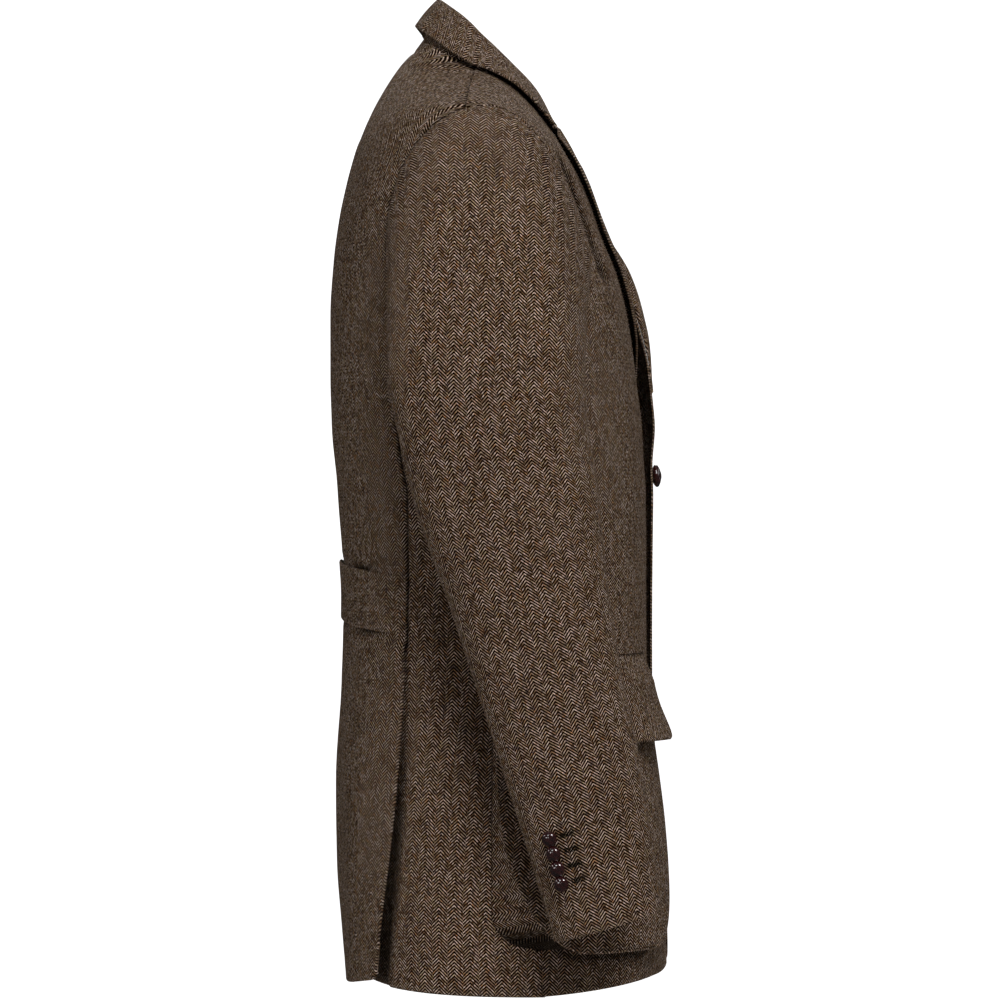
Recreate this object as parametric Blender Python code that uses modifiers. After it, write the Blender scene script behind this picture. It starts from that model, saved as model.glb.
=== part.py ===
"""Tweed hunting jacket, worn shape with no wearer: panels, sleeves, collar, lapels, pockets, buttons.

Metres, +Z up. The wearer faces -Y and the wearer's left is +X. The origin lies at the base of the
neck, level with the shoulder seams, where the jacket rests on its wearer.
"""
import math
from collections import namedtuple

import bmesh
import bpy
from mathutils import Matrix, Vector
from mathutils.bvhtree import BVHTree


def table(columns, *rows):
    """A table whose rows know their columns by name."""
    row_kind = namedtuple("Row", columns)
    return [row_kind(*row) for row in rows]


# Cloth
WALL = 0.0022
SEAM = 0.0003
SIDE_SEAM = 0.0014
SHOULDER_SEAM = 0.0018
SLEEVE_SEAM = 0.0012
ARM_SEAM = 0.0014
BED = 0.0008
TRIM_WALL = 0.0020

# Torso sections: height at the side, half width there and its y, then for the back and the front the
# y of the centre line, how far it lies above (+) or below (-) the side, and how square the curve is.
TORSO = table(
    "z half side_y back_y back_rise back_round front_y front_rise front_round",
    (0.012, 0.066, 0.000, 0.0405, 0.024, 2.2, -0.0550, -0.045, 2.2),
    (0.004, 0.076, 0.000, 0.0500, 0.019, 2.2, -0.0610, -0.046, 2.2),
    (-0.003, 0.095, 0.000, 0.0620, 0.013, 2.2, -0.0670, -0.047, 2.2),
    (-0.011, 0.130, 0.001, 0.0735, 0.004, 2.2, -0.0725, -0.048, 2.3),
    (-0.020, 0.165, 0.002, 0.0830, -0.004, 2.2, -0.0780, -0.048, 2.4),
    (-0.030, 0.200, 0.002, 0.0905, -0.010, 2.2, -0.0825, -0.048, 2.5),
    (-0.038, 0.222, 0.002, 0.0970, -0.018, 2.2, -0.0860, -0.048, 2.5),
    (-0.050, 0.231, 0.001, 0.1010, -0.018, 2.3, -0.0900, -0.046, 2.6),
    (-0.075, 0.235, 0.000, 0.1070, -0.016, 2.4, -0.0980, -0.040, 2.7),
    (-0.110, 0.233, -0.002, 0.1130, -0.010, 2.5, -0.1090, -0.030, 2.8),
    (-0.150, 0.226, -0.004, 0.1175, -0.004, 2.5, -0.1200, -0.018, 2.9),
    (-0.200, 0.214, -0.006, 0.1203, 0.000, 2.5, -0.1315, -0.006, 2.9),
    (-0.250, 0.205, -0.008, 0.1203, 0.000, 2.5, -0.1385, 0.000, 2.8),
    (-0.300, 0.199, -0.009, 0.1180, 0.000, 2.5, -0.1405, 0.000, 2.7),
    (-0.350, 0.193, -0.010, 0.1140, 0.000, 2.5, -0.1410, 0.000, 2.6),
    (-0.420, 0.187, -0.011, 0.1095, 0.000, 2.5, -0.1410, 0.000, 2.6),
    (-0.500, 0.188, -0.013, 0.1110, 0.000, 2.5, -0.1415, 0.000, 2.6),
    (-0.580, 0.193, -0.015, 0.1150, 0.000, 2.5, -0.1455, 0.000, 2.6),
    (-0.650, 0.199, -0.017, 0.1140, 0.000, 2.5, -0.1518, 0.000, 2.6),
    (-0.700, 0.203, -0.018, 0.1105, 0.000, 2.5, -0.1560, 0.000, 2.6),
    (-0.760, 0.206, -0.018, 0.1060, 0.000, 2.5, -0.1585, 0.000, 2.6),
)
NECK_Z = TORSO[0].z
HEM_Z = -0.742

# Armhole: an ellipse seen from the side, its front half leaning forward as it goes down
ARMHOLE_Y = -0.010
ARMHOLE_Z = -0.1435
ARMHOLE_DEEP = 0.080
ARMHOLE_TALL = 0.1055
ARMHOLE_LEAN = 0.20
BACK_NOTCH = math.radians(-122)
FRONT_NOTCH = math.radians(132)
SHOULDER_TURN = math.radians(-12)
SHOULDER_FAN = 0.026

# Side-back seam, with the vent that opens below it, and the side-front seam: height, y
SIDE_BACK = table(
    "z y vent_y",
    (-0.190, 0.0675, 0.0675),
    (-0.260, 0.0655, 0.0655),
    (-0.310, 0.0605, 0.0605),
    (-0.350, 0.0540, 0.0540),
    (-0.470, 0.0544, 0.0544),
    (-0.520, 0.0544, 0.0565),
    (-0.760, 0.0544, 0.0750),
)
SIDE_FRONT = table("z y", (-0.200, -0.058), (-0.420, -0.052), (-0.760, -0.056))
VENT_Z = -0.470
VENT_RISE = 0.011
VENT_LIFT = 0.0036
VENT_FLARE = 0.0030
VENT_UNDERLAP = 0.034
VENT_FADE = 0.090
VENT_CORNER = 0.022
BACK_HEM_DROP = 0.004
SEAM_RUN_IN = -0.290

# Front edge and roll line: height, x of the edge past the centre line, stand-off of the upper lap
FRONT_EDGE = table(
    "z edge_x lap",
    (0.012, 0.0600, 0.0000),
    (-0.005, 0.0610, 0.0000),
    (-0.030, 0.0570, 0.0000),
    (-0.070, 0.0470, 0.0010),
    (-0.120, 0.0330, 0.0035),
    (-0.190, 0.0120, 0.0072),
    (-0.245, -0.0090, 0.0085),
    (-0.285, -0.0200, 0.0062),
    (-0.330, -0.0220, 0.0050),
    (-0.760, -0.0220, 0.0046),
)
LAP_FADE_X = 0.105
LAP_FULL_X = 0.035
FRONT_CORNER = 0.050
FRONT_HEM_RISE = 0.007
FRONT_DEEP = 0.140

# Lapel, from the notch to the break: height along the roll line, then the free edge as seen from the
# front, and how far the cloth stands off the chest where it rolls
LAPEL = table(
    "z edge_x edge_z roll",
    (-0.009, 0.113, -0.068, 0.0040),
    (-0.030, 0.120, -0.088, 0.0055),
    (-0.070, 0.110, -0.120, 0.0060),
    (-0.120, 0.092, -0.154, 0.0060),
    (-0.160, 0.073, -0.181, 0.0050),
    (-0.200, 0.048, -0.209, 0.0035),
    (-0.235, 0.020, -0.239, 0.0012),
    (-0.262, -0.004, -0.263, 0.0004),
)

# Collar: a row for each station from the centre back to the notch. The seam is on the neck edge, at an
# angle round the neck and a height; then come the fold and the free edge of the fall.
COLLAR = table(
    "turn seam_z fold_x fold_y fold_z edge_x edge_y edge_z",
    (0.0, 0.012, 0.000, 0.0300, 0.0625, 0.000, 0.0500, 0.0420),
    (35.0, 0.012, 0.030, 0.0235, 0.0580, 0.038, 0.0405, 0.0330),
    (70.0, 0.012, 0.052, 0.0060, 0.0445, 0.074, 0.0160, 0.0130),
    (95.0, 0.012, 0.060, -0.0110, 0.0290, 0.092, -0.0050, -0.0010),
    (118.5, 0.012, 0.064, -0.0300, 0.0090, 0.104, -0.0240, -0.0180),
    (129.0, 0.001, 0.064, -0.0470, -0.0120, 0.107, -0.0420, -0.0355),
    (136.5, -0.0055, 0.060, -0.0610, -0.0345, 0.104, -0.0585, -0.0515),
)
COLLAR_FOLD = 0.0030
COLLAR_CLEAR = 0.0014

# Sleeve rings below the armhole: height, centre, half depth, half thickness, rise to the front
SLEEVE = table(
    "z x y deep thick slope",
    (-0.262, 0.2550, -0.0092, 0.0778, 0.0445, 0.00),
    (-0.300, 0.2535, -0.0154, 0.0743, 0.0450, 0.05),
    (-0.340, 0.2515, -0.0235, 0.0726, 0.0445, 0.10),
    (-0.380, 0.2500, -0.0325, 0.0678, 0.0440, 0.15),
    (-0.420, 0.2495, -0.0417, 0.0619, 0.0430, 0.20),
    (-0.460, 0.2500, -0.0512, 0.0579, 0.0420, 0.24),
    (-0.510, 0.2520, -0.0637, 0.0538, 0.0410, 0.27),
    (-0.560, 0.2545, -0.0768, 0.0513, 0.0400, 0.29),
    (-0.610, 0.2570, -0.0887, 0.0476, 0.0390, 0.30),
    (-0.681, 0.2590, -0.1043, 0.0427, 0.0380, 0.30),
)
CUFF_Z = SLEEVE[-1].z
BICEPS_Z = SLEEVE[0].z
HEAD_LEAVE = 0.50
HEAD_ARRIVE = 0.92
HIND_SEAM = table(
    "z turn", (0.0, -96.0), (-0.262, -94.0), (-0.500, -90.0), (-0.600, -84.0), (-0.700, -80.0)
)
FORE_SEAM = table("z turn", (0.0, 128.0), (-0.700, 122.0))

# Bellows pocket and flap on the hip
POCKET_REAR_Y = -0.0175
POCKET_FRONT_X = 0.080
POCKET_BOTTOM = -0.711
POCKET_MOUTH = -0.498
POCKET_CORNER_WIDE = 0.058
POCKET_CORNER_TALL = 0.150
POCKET_DEEP_REAR = 0.017
POCKET_DEEP_FRONT = 0.009
POCKET_MOUTH_REAR = 0.42
POCKET_MOUTH_FRONT = 0.78
POCKET_CROWN = 0.003
POCKET_WIDE = 0.175
GUSSET_WALL = 0.0012
GUSSET_INSET = 0.0026
GUSSET_FLARE = 0.005
GUSSET_FOOT = 0.0028
GUSSET_CLEAR = 0.0015
GUSSET_BOTTOM = -0.707
GUSSET_CORNER = 0.030
GUSSET_BENDS = (0.30, 0.42)
FLAP_TOP = -0.474
FLAP_BOTTOM = -0.545
FLAP_REAR_Y = -0.0115
FLAP_FRONT_X = 0.072
FLAP_CORNER = 0.022
FLAP_WIDE = 0.186
FLAP_SWING = 0.0040

# Half belt
BELT_TOP = -0.402
BELT_BOTTOM = -0.449
BELT_DROP = 0.008
BELT_END_Y = 0.062

# Buttons
CUFF_BUTTON_ACROSS = 0.0118
CUFF_BUTTON_THICK = 0.0058
CUFF_BUTTON_PITCH = 0.0118
CUFF_BUTTON_FIRST_Z = -0.6045
CUFF_BUTTON_TURN = math.radians(-34.75)
CUFF_BUTTON_COUNT = 4
FRONT_BUTTON_ACROSS = 0.0190
FRONT_BUTTON_THICK = 0.0072
FRONT_BUTTON_X = -0.004
FRONT_BUTTON_Z = -0.330

# Rows of the cloth's sections
SKIRT_ROWS = 4
WAIST_ROWS = 5
ARM_ROWS = 8
SHOULDER_ROWS = 4
SLEEVE_ROWS = 15
HEAD_SHARE = 10 / 15
SLEEVE_GAP = SLEEVE_SEAM / 2 / 0.04

TWEED = (0.105, 0.072, 0.046, 1.0)
LEATHER = (0.045, 0.011, 0.009, 1.0)


def through(rows, where):
    """A table's row at `where` in its first column, on a smooth curve with no overshoot."""
    rising = rows if rows[0][0] < rows[-1][0] else rows[::-1]
    last = len(rising) - 1
    where = min(max(where, rising[0][0]), rising[last][0])
    at = 0
    while at < last - 1 and where > rising[at + 1][0]:
        at += 1

    def grade(index, column):
        low, high = rising[index], rising[index + 1]
        return (high[column] - low[column]) / (high[0] - low[0])

    def slope(index, column):
        if index in (0, last):
            return grade(min(index, last - 1), column)
        before, after = grade(index - 1, column), grade(index, column)
        if before * after <= 0:
            return 0.0
        return 2 * before * after / (before + after)

    low, high = rising[at], rising[at + 1]
    span = high[0] - low[0]
    s = (where - low[0]) / span
    values = [where]
    for column in range(1, len(low)):
        start, end = slope(at, column) * span, slope(at + 1, column) * span
        values.append((2 * s ** 3 - 3 * s ** 2 + 1) * low[column] + (s ** 3 - 2 * s ** 2 + s) * start
                      + (3 * s ** 2 - 2 * s ** 3) * high[column] + (s ** 3 - s ** 2) * end)
    return low._make(values)


def mix(a, b, share):
    return a + (b - a) * share


def ease(share):
    share = min(max(share, 0.0), 1.0)
    return share * share * (3 - 2 * share)


def half_of(section, behind):
    """Depth, squareness and rise of a section's back or front half."""
    if behind:
        return section.back_y - section.side_y, section.back_round, section.back_rise
    return section.side_y - section.front_y, section.front_round, section.front_rise


def bare_torso(turn, z):
    """Point of the torso at an angle round from the centre back, at a section's side height."""
    here = through(TORSO, z)
    deep, power, rise = half_of(here, math.cos(turn) >= 0)
    to_back, to_side = math.cos(turn), math.sin(turn)
    reach = (abs(to_back / deep) ** power + abs(to_side / here.half) ** power) ** (-1 / power)
    along = reach * to_back
    return Vector((reach * to_side, here.side_y + along, z + rise * (along / deep) ** 2))


def torso(turn, z, off=0.0):
    """Torso point moved out from the cloth's outer face by `off`."""
    step = 0.0006
    point = bare_torso(turn, z)
    across = bare_torso(turn + step, z) - bare_torso(turn - step, z)
    down = bare_torso(turn, z - step) - point
    return point + across.cross(down).normalized() * off


def locate(y, z):
    """Angle and section height of the torso point that is seen at y, z from the side."""
    section = z
    for _ in range(40):
        here = through(TORSO, section)
        deep, power, rise = half_of(here, y >= here.side_y)
        share = min(abs(y - here.side_y) / deep, 0.9995)
        section = mix(section, z - rise * share ** 2, 0.6)
    x = here.half * (1 - share ** power) ** (1 / power)
    return math.atan2(x, y - here.side_y), section


def turn_at_y(y, z):
    """Angle where a section crosses a y."""
    here = through(TORSO, z)
    deep, power, _ = half_of(here, y >= here.side_y)
    share = min(abs(y - here.side_y) / deep, 0.9995)
    return math.atan2(here.half * (1 - share ** power) ** (1 / power), y - here.side_y)


def turn_at_x(x, z):
    """Angle where the front of a section crosses an x, past half a turn beyond the centre."""
    here = through(TORSO, z)
    deep, power, _ = half_of(here, False)
    share = min(abs(x) / here.half, 0.9995)
    return math.pi - math.atan2(x, deep * (1 - share ** power) ** (1 / power))


def locate_front(x, z):
    """Angle and section height of the torso point that is seen at x, z from the front."""
    section = z
    for _ in range(40):
        here = through(TORSO, section)
        deep, power, rise = half_of(here, False)
        share = (1 - min(abs(x) / here.half, 0.9995) ** power) ** (1 / power)
        section = mix(section, z - rise * share ** 2, 0.6)
    return math.pi - math.atan2(x, deep * share), section


def armhole(turn, inset=0.0):
    """Side-view point of the armhole, a turn from its top towards the front, shrunk by `inset`."""
    up = (ARMHOLE_TALL - inset) * math.cos(turn)
    lean = ARMHOLE_LEAN * up * max(math.sin(turn), 0.0)
    return ARMHOLE_Y - (ARMHOLE_DEEP - inset) * math.sin(turn) + lean, ARMHOLE_Z + up


def corner(distance, radius):
    """How far a rounded corner rises at a distance in from its edge."""
    if distance >= radius:
        return 0.0
    return radius - math.sqrt(max(radius ** 2 - (radius - distance) ** 2, 0.0))


def hem_share(z):
    """How much of the hem's own shape a height follows: all at the hem, none well above it."""
    return ease((z - (HEM_Z + 0.16)) / -0.16)


for item in list(bpy.data.objects):
    bpy.data.objects.remove(item, do_unlink=True)
jacket = bpy.data.collections.new("tweed_hunting_jacket")
bpy.context.scene.collection.children.link(jacket)


def finish_for(name, colour, roughness):
    """A Principled material of one colour."""
    material = bpy.data.materials.new(name)
    material.use_nodes = True
    shader = material.node_tree.nodes["Principled BSDF"]
    shader.inputs["Base Color"].default_value = colour
    shader.inputs["Roughness"].default_value = roughness
    shader.inputs["Metallic"].default_value = 0.0
    return material


def place(name, shape, colour=TWEED, roughness=0.9):
    """Turn a bmesh into a named, shaded object of the jacket."""
    mesh = bpy.data.meshes.new(name)
    shape.to_mesh(mesh)
    shape.free()
    mesh.shade_smooth()
    mesh.materials.append(finish_for(name, colour, roughness))
    piece = bpy.data.objects.new(name, mesh)
    jacket.objects.link(piece)
    return piece


def sheet(name, point, across, along, mirrored=False, wall=WALL, centred=False):
    """Cloth through point(u, v): a grid, mirrored to the right side if asked, with a wall inwards.

    Seen from outside the left of the jacket, u runs from back to front and v runs up.
    """
    shape = bmesh.new()
    bmesh.ops.create_grid(shape, x_segments=across, y_segments=along, size=1.0)
    for vertex in shape.verts:
        spot = point((vertex.co.x + 1) / 2, (vertex.co.y + 1) / 2)
        vertex.co = (-spot.x, spot.y, spot.z) if mirrored else spot
    if not mirrored:
        bmesh.ops.reverse_faces(shape, faces=shape.faces)
    piece = place(name, shape)
    solid = piece.modifiers.new("wall", "SOLIDIFY")
    solid.thickness = wall
    solid.offset = 0.0 if centred else -1.0
    solid.use_quality_normals = True
    return piece


def notch_mark(turn):
    """Angle and height where a seam meets the armhole."""
    return locate(*armhole(turn))


BACK_MARK = notch_mark(BACK_NOTCH)
FRONT_MARK = notch_mark(FRONT_NOTCH)


def run_in(y, z, mark):
    """Angle of a seam's y, led into its mark on the armhole."""
    return mix(turn_at_y(y, z), mark[0], ease((z - SEAM_RUN_IN) / (mark[1] - SEAM_RUN_IN)))


def side_back_turn(z):
    """Angle of the side-back seam, on the side body."""
    return run_in(through(SIDE_BACK, z).y, z, BACK_MARK)


def vent_turn(z):
    """Angle of the back's edge: the side-back seam, and below it the edge of the vent."""
    return run_in(through(SIDE_BACK, z).vent_y, z, BACK_MARK)


def side_front_turn(z):
    """Angle of the side-front seam."""
    return run_in(through(SIDE_FRONT, z).y, z, FRONT_MARK)


def seam_heights(top):
    """Heights of a panel's rows from the hem, close together at the vent's top, to a given top."""
    low, high = VENT_Z - VENT_RISE, VENT_Z + VENT_RISE
    skirt = [mix(HEM_Z, low, row / SKIRT_ROWS) for row in range(SKIRT_ROWS + 1)]
    return skirt + [VENT_Z] + [mix(high, top, row / WAIST_ROWS) for row in range(WAIST_ROWS + 1)]


def panel_rows(notch, mark, seam_turn):
    """Rows of a back or front from hem to neck: outer height, outer angle and inner height of each.

    The outer boundary climbs a seam to the notch in the armhole, follows the armhole to the shoulder
    seam, then runs along that to the neck. The inner heights only rise.
    """
    tip_turn, tip_z = locate(*armhole(SHOULDER_TURN))
    top_z = locate(*armhole(0.0))[1] + SHOULDER_FAN
    rows = [(z, seam_turn(z), z) for z in seam_heights(mark[1])[:-1]]
    for row in range(ARM_ROWS):
        share = row / ARM_ROWS
        turn, z = locate(*armhole(mix(notch, SHOULDER_TURN, share)))
        inner_z = locate(*armhole(mix(notch, 0.0, share)))[1]
        rows.append((z, turn, inner_z + SHOULDER_FAN * share ** 2))
    for row in range(SHOULDER_ROWS + 1):
        share = row / SHOULDER_ROWS
        rows.append((mix(tip_z, NECK_Z, share), mix(tip_turn, math.pi / 2, share),
                     mix(top_z, NECK_Z, share)))
    return rows


def half_gap(z):
    """Angle that keeps half a seam's gap from the centre back."""
    return SEAM / 2 / through(TORSO, z).back_y


def seam_gap(z):
    """Angle of half a seam's gap at the sides and the shoulder, whose walls lean in to SEAM inside."""
    gap = mix(SIDE_SEAM, SHOULDER_SEAM, ease((z + 0.06) / 0.02))
    return gap / 2 / through(TORSO, z).half


def vent_lift(z, from_edge):
    """How far the back stands off the side body near the vent's edge."""
    down = ease((VENT_Z + VENT_RISE - z) / VENT_RISE)
    flare = VENT_FLARE * ease((VENT_Z - z) / (VENT_Z - HEM_Z))
    return (VENT_LIFT * down + flare) * ease((VENT_FADE - from_edge) / (VENT_FADE - VENT_UNDERLAP))


def back(name, mirrored):
    """Half of the back: centre seam, side seam or vent, armhole, shoulder and neck."""
    rows = panel_rows(BACK_NOTCH, BACK_MARK, vent_turn)

    def point(u, v):
        outer_z, outer, inner_z = rows[round(v * (len(rows) - 1))]
        z = mix(inner_z, outer_z, u)
        turn = mix(half_gap(z), outer - seam_gap(z), u)
        width = (outer - turn) * through(TORSO, z).half
        lower = z + hem_share(z) * (corner(width, VENT_CORNER) - BACK_HEM_DROP * (1 - u))
        return torso(turn, lower, vent_lift(lower, width))

    return sheet(name, point, 8, len(rows) - 1, mirrored)


def side(name, mirrored):
    """Side body between the side-back and side-front seams, running on under the back at the vent."""
    columns = 6
    low, high = BACK_NOTCH + math.tau, FRONT_NOTCH
    arc = [locate(*armhole(mix(low, high, step / columns), -SEAM)) for step in range(columns + 1)]

    def rear(z):
        under = VENT_UNDERLAP * ease((VENT_Z - z) / VENT_RISE)
        return side_back_turn(z) - under / through(TORSO, z).half + seam_gap(z)

    def fore(z):
        return side_front_turn(z) - seam_gap(z)

    def point(u, v):
        top_turn, top_z = arc[round(u * columns)]
        heights = seam_heights(top_z)
        z = heights[round(v * (len(heights) - 1))]
        drift = top_turn - mix(side_back_turn(top_z), side_front_turn(top_z), u)
        return torso(mix(rear(z), fore(z), u) + drift * ease((v - 0.75) / 0.25), z)

    return sheet(name, point, columns, SKIRT_ROWS + WAIST_ROWS + 2, mirrored)


def front_edge_turn(z):
    """Angle of the front's edge, or of the roll line above the break."""
    return turn_at_x(through(FRONT_EDGE, z).edge_x, z)


def lap_lift(turn, z, lapped):
    """Stand-off of the upper front over the under one, full near the edge and none at the side."""
    if not lapped:
        return 0.0
    x = bare_torso(turn, z).x
    return through(FRONT_EDGE, z).lap * ease((LAP_FADE_X - x) / (LAP_FADE_X - LAP_FULL_X))


def front(name, mirrored):
    """Front: side seam, armhole, shoulder, neck, roll line and straight edge with a round corner."""
    rows = panel_rows(FRONT_NOTCH, FRONT_MARK, side_front_turn)
    lapped = not mirrored

    def point(u, v):
        outer_z, outer, inner_z = rows[round(v * (len(rows) - 1))]
        spread = 1 - (1 - u) ** 1.3
        z = mix(outer_z, inner_z, 1 - (1 - u) ** 3.2)
        turn = mix(outer + seam_gap(outer_z), front_edge_turn(inner_z), spread)
        to_edge = (front_edge_turn(inner_z) - turn) * FRONT_DEEP
        lower = z + hem_share(z) * (corner(to_edge, FRONT_CORNER) + FRONT_HEM_RISE * u)
        return torso(turn, lower, lap_lift(turn, lower, lapped))

    return sheet(name, point, 9, len(rows) - 1, mirrored)


def lapel(name, mirrored):
    """Lapel turned back on the roll line, lying on the chest from the break to the notch."""
    lapped = not mirrored

    def point(u, v):
        z, edge_x, edge_z, roll = through(LAPEL, mix(LAPEL[-1].z, LAPEL[0].z, v))
        start = bare_torso(front_edge_turn(z), z)
        turn, section = locate_front(mix(start.x, edge_x, 1 - u), mix(start.z, edge_z, 1 - u))
        bulge = roll * math.sin(math.pi * min((1 - u) * 2.4, 1.0)) * u
        return torso(turn, section, lap_lift(turn, section, lapped) + BED + WALL + bulge)

    return sheet(name, point, 5, 12, mirrored)


def collar(name):
    """Collar round the neck: stand up from the neck seam, over the fold and down to the free edge."""
    last = len(COLLAR) - 1
    stations = table("station " + " ".join(COLLAR[0]._fields),
                     *((index,) + row for index, row in enumerate(COLLAR)))

    def clear(spot):
        """The spot, moved out where the shoulder or chest below would touch the fall."""
        turn, section = locate(spot.y, spot.z)
        if section > NECK_Z:
            return spot
        base = bare_torso(turn, section)
        out = torso(turn, section, 1.0) - base
        return spot + out * max(WALL / 2 + COLLAR_CLEAR - (spot - base).dot(out), 0.0)

    def point(u, v):
        along = (u * 2 - 1) * last
        here = through(stations, abs(along))
        seam = bare_torso(math.radians(here.turn), here.seam_z)
        up = (seam - bare_torso(math.radians(here.turn), here.seam_z - 0.004)).normalized()
        seam += up * (WALL / 2 + SEAM)
        fold = Vector((here.fold_x, here.fold_y, here.fold_z))
        edge = clear(Vector((here.edge_x, here.edge_y, here.edge_z)))
        out = (edge - seam).normalized() * COLLAR_FOLD
        path = (seam, mix(seam, fold, 0.5) - out * 0.2, fold - out * 0.8, fold + out * 0.8,
                mix(fold, edge, 0.5) + out * 0.5, edge)
        spots = table("step x y z", *((index, *spot) for index, spot in enumerate(path)))
        spot = Vector(through(spots, v * (len(path) - 1))[1:])
        if v > 0.5:
            spot = clear(spot)
        return Vector((spot.x * (-1 if along < 0 else 1), spot.y, spot.z))

    return sheet(name, point, 22, 8, centred=True)


def ring(turn, z):
    """Sleeve point at an angle from the outer side towards the front, at a height of its axis."""
    here = through(SLEEVE, z)
    forward = -here.deep * math.sin(turn)
    return Vector((here.x + here.thick * math.cos(turn), here.y + forward, z - here.slope * forward))


def sleeve_point(turn, v):
    """Sleeve from the cuff (v = 0) up to the biceps and over the head to the armhole (v = 1)."""
    if v <= HEAD_SHARE:
        return ring(turn, mix(CUFF_Z, BICEPS_Z, v / HEAD_SHARE))
    arm_turn, arm_z = locate(*armhole(turn, ARM_SEAM))
    start = bare_torso(arm_turn, arm_z)
    end = ring(turn, BICEPS_Z)
    reach = (end - start).length
    leave = Vector((1, 0, -0.25)).normalized() * reach * HEAD_LEAVE
    arrive = Vector((0, 0, -1)) * reach * HEAD_ARRIVE
    s = (1 - v) / (1 - HEAD_SHARE)
    return ((2 * s ** 3 - 3 * s ** 2 + 1) * start + (s ** 3 - 2 * s ** 2 + s) * leave
            + (3 * s ** 2 - 2 * s ** 3) * end + (s ** 3 - s ** 2) * arrive)


def sleeve_seams(v):
    """Angles of the hind and fore seams at a share of the sleeve's length from the cuff."""
    z = mix(CUFF_Z, 0.0, v)
    return math.radians(through(HIND_SEAM, z).turn), math.radians(through(FORE_SEAM, z).turn)


def top_sleeve(name, mirrored):
    """Upper half of the two-piece sleeve, from the hind seam over the outside to the fore seam."""

    def point(u, v):
        hind, fore = sleeve_seams(v)
        return sleeve_point(mix(hind + SLEEVE_GAP, fore - SLEEVE_GAP, u), v)

    return sheet(name, point, 12, SLEEVE_ROWS, mirrored)


def under_sleeve(name, mirrored):
    """Under half of the sleeve, on the inner side between the fore and hind seams."""

    def point(u, v):
        hind, fore = sleeve_seams(v)
        return sleeve_point(mix(fore + SLEEVE_GAP, hind + math.tau - SLEEVE_GAP, u), v)

    return sheet(name, point, 7, SLEEVE_ROWS, mirrored)


def pocket_turn(across, z):
    """Angle at a share of the pocket's width from its rear edge to its front edge."""
    return mix(turn_at_y(POCKET_REAR_Y, z), turn_at_x(POCKET_FRONT_X, z), across)


def pocket_off(across, z):
    """How far the pocket's outer face stands off the front."""
    up = (z - POCKET_BOTTOM) / (POCKET_MOUTH - POCKET_BOTTOM)
    deep = mix(POCKET_DEEP_REAR, POCKET_DEEP_FRONT, across)
    crown = POCKET_CROWN * math.sin(math.pi * across) * math.sin(math.pi * min(max(up, 0.0), 1.0))
    mouth = mix(POCKET_MOUTH_REAR, POCKET_MOUTH_FRONT, across)
    return deep * mix(1.0, mouth, ease((up - 0.45) / 0.55)) + crown


def spread_out(u):
    """Share across a piece with round corners, its columns closer at both ends."""
    return mix(u, 0.5 - 0.5 * math.cos(math.pi * u), 0.6)


def pocket_patch(name, mirrored):
    """Face of the bellows pocket, open at its mouth under the flap."""
    lapped = not mirrored

    def point(u, v):
        across = spread_out(u)
        from_side = min(across, 1 - across) * POCKET_WIDE
        round_up = corner(from_side, POCKET_CORNER_WIDE) / POCKET_CORNER_WIDE
        low = POCKET_BOTTOM + POCKET_CORNER_TALL * round_up
        z = mix(low, POCKET_MOUTH, v)
        turn = pocket_turn(across, z)
        return torso(turn, z, pocket_off(across, z) + lap_lift(turn, z, lapped))

    return sheet(name, point, 10, 6, mirrored, TRIM_WALL)


def pocket_outline(share, inset, bottom, corner_wide, corner_tall):
    """Round the pocket from its rear mouth to its front one: straight down, a corner, along the bottom."""
    half = min(share, 1 - share) * 2
    down, turned = GUSSET_BENDS
    bend = min(max((half - down) / turned, 0.0), 1.0) * math.pi / 2
    top = bottom + corner_tall
    along = max(half - down - turned, 0.0) / (1 - down - turned)
    width = inset + corner_wide * (1 - math.cos(bend))
    width = mix(width, POCKET_WIDE / 2, along)
    z = mix(POCKET_MOUTH - 0.004, top, min(half / down, 1.0)) - corner_tall * math.sin(bend)
    return (width if share < 0.5 else POCKET_WIDE - width) / POCKET_WIDE, z


def pocket_gusset(name, mirrored):
    """Bellows strip that joins the pocket's sides and bottom to the front, wider at the front's face."""
    lapped = not mirrored

    def point(u, v):
        foot = pocket_outline(u, -GUSSET_FLARE, GUSSET_BOTTOM, GUSSET_CORNER, GUSSET_CORNER)
        head = pocket_outline(u, GUSSET_INSET, POCKET_BOTTOM + GUSSET_INSET,
                              POCKET_CORNER_WIDE - GUSSET_INSET, POCKET_CORNER_TALL - GUSSET_INSET)
        across, z = mix(foot[0], head[0], v), mix(foot[1], head[1], v)
        turn = pocket_turn(across, z)
        top = pocket_off(head[0], head[1]) - TRIM_WALL - GUSSET_CLEAR
        return torso(turn, z, mix(GUSSET_FOOT, top, v) + lap_lift(turn, z, lapped))

    return sheet(name, point, 30, 1, mirrored, GUSSET_WALL)


def pocket_flap(name, mirrored):
    """Flap sewn above the pocket's mouth, falling over it with round corners."""
    lapped = not mirrored

    def point(u, v):
        across = spread_out(u)
        low = FLAP_BOTTOM + corner(min(across, 1 - across) * FLAP_WIDE, FLAP_CORNER)
        z = mix(low, FLAP_TOP, v)
        turn = mix(turn_at_y(FLAP_REAR_Y, z), turn_at_x(FLAP_FRONT_X, z), across)
        down = (FLAP_TOP - z) / (FLAP_TOP - FLAP_BOTTOM)
        over = pocket_off(across, min(z, POCKET_MOUTH)) + TRIM_WALL + BED + FLAP_SWING * down
        bed = mix(TRIM_WALL + BED, over, ease(down / 0.36))
        return torso(turn, z, bed + lap_lift(turn, z, lapped))

    return sheet(name, point, 10, 4, mirrored, TRIM_WALL)


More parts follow.
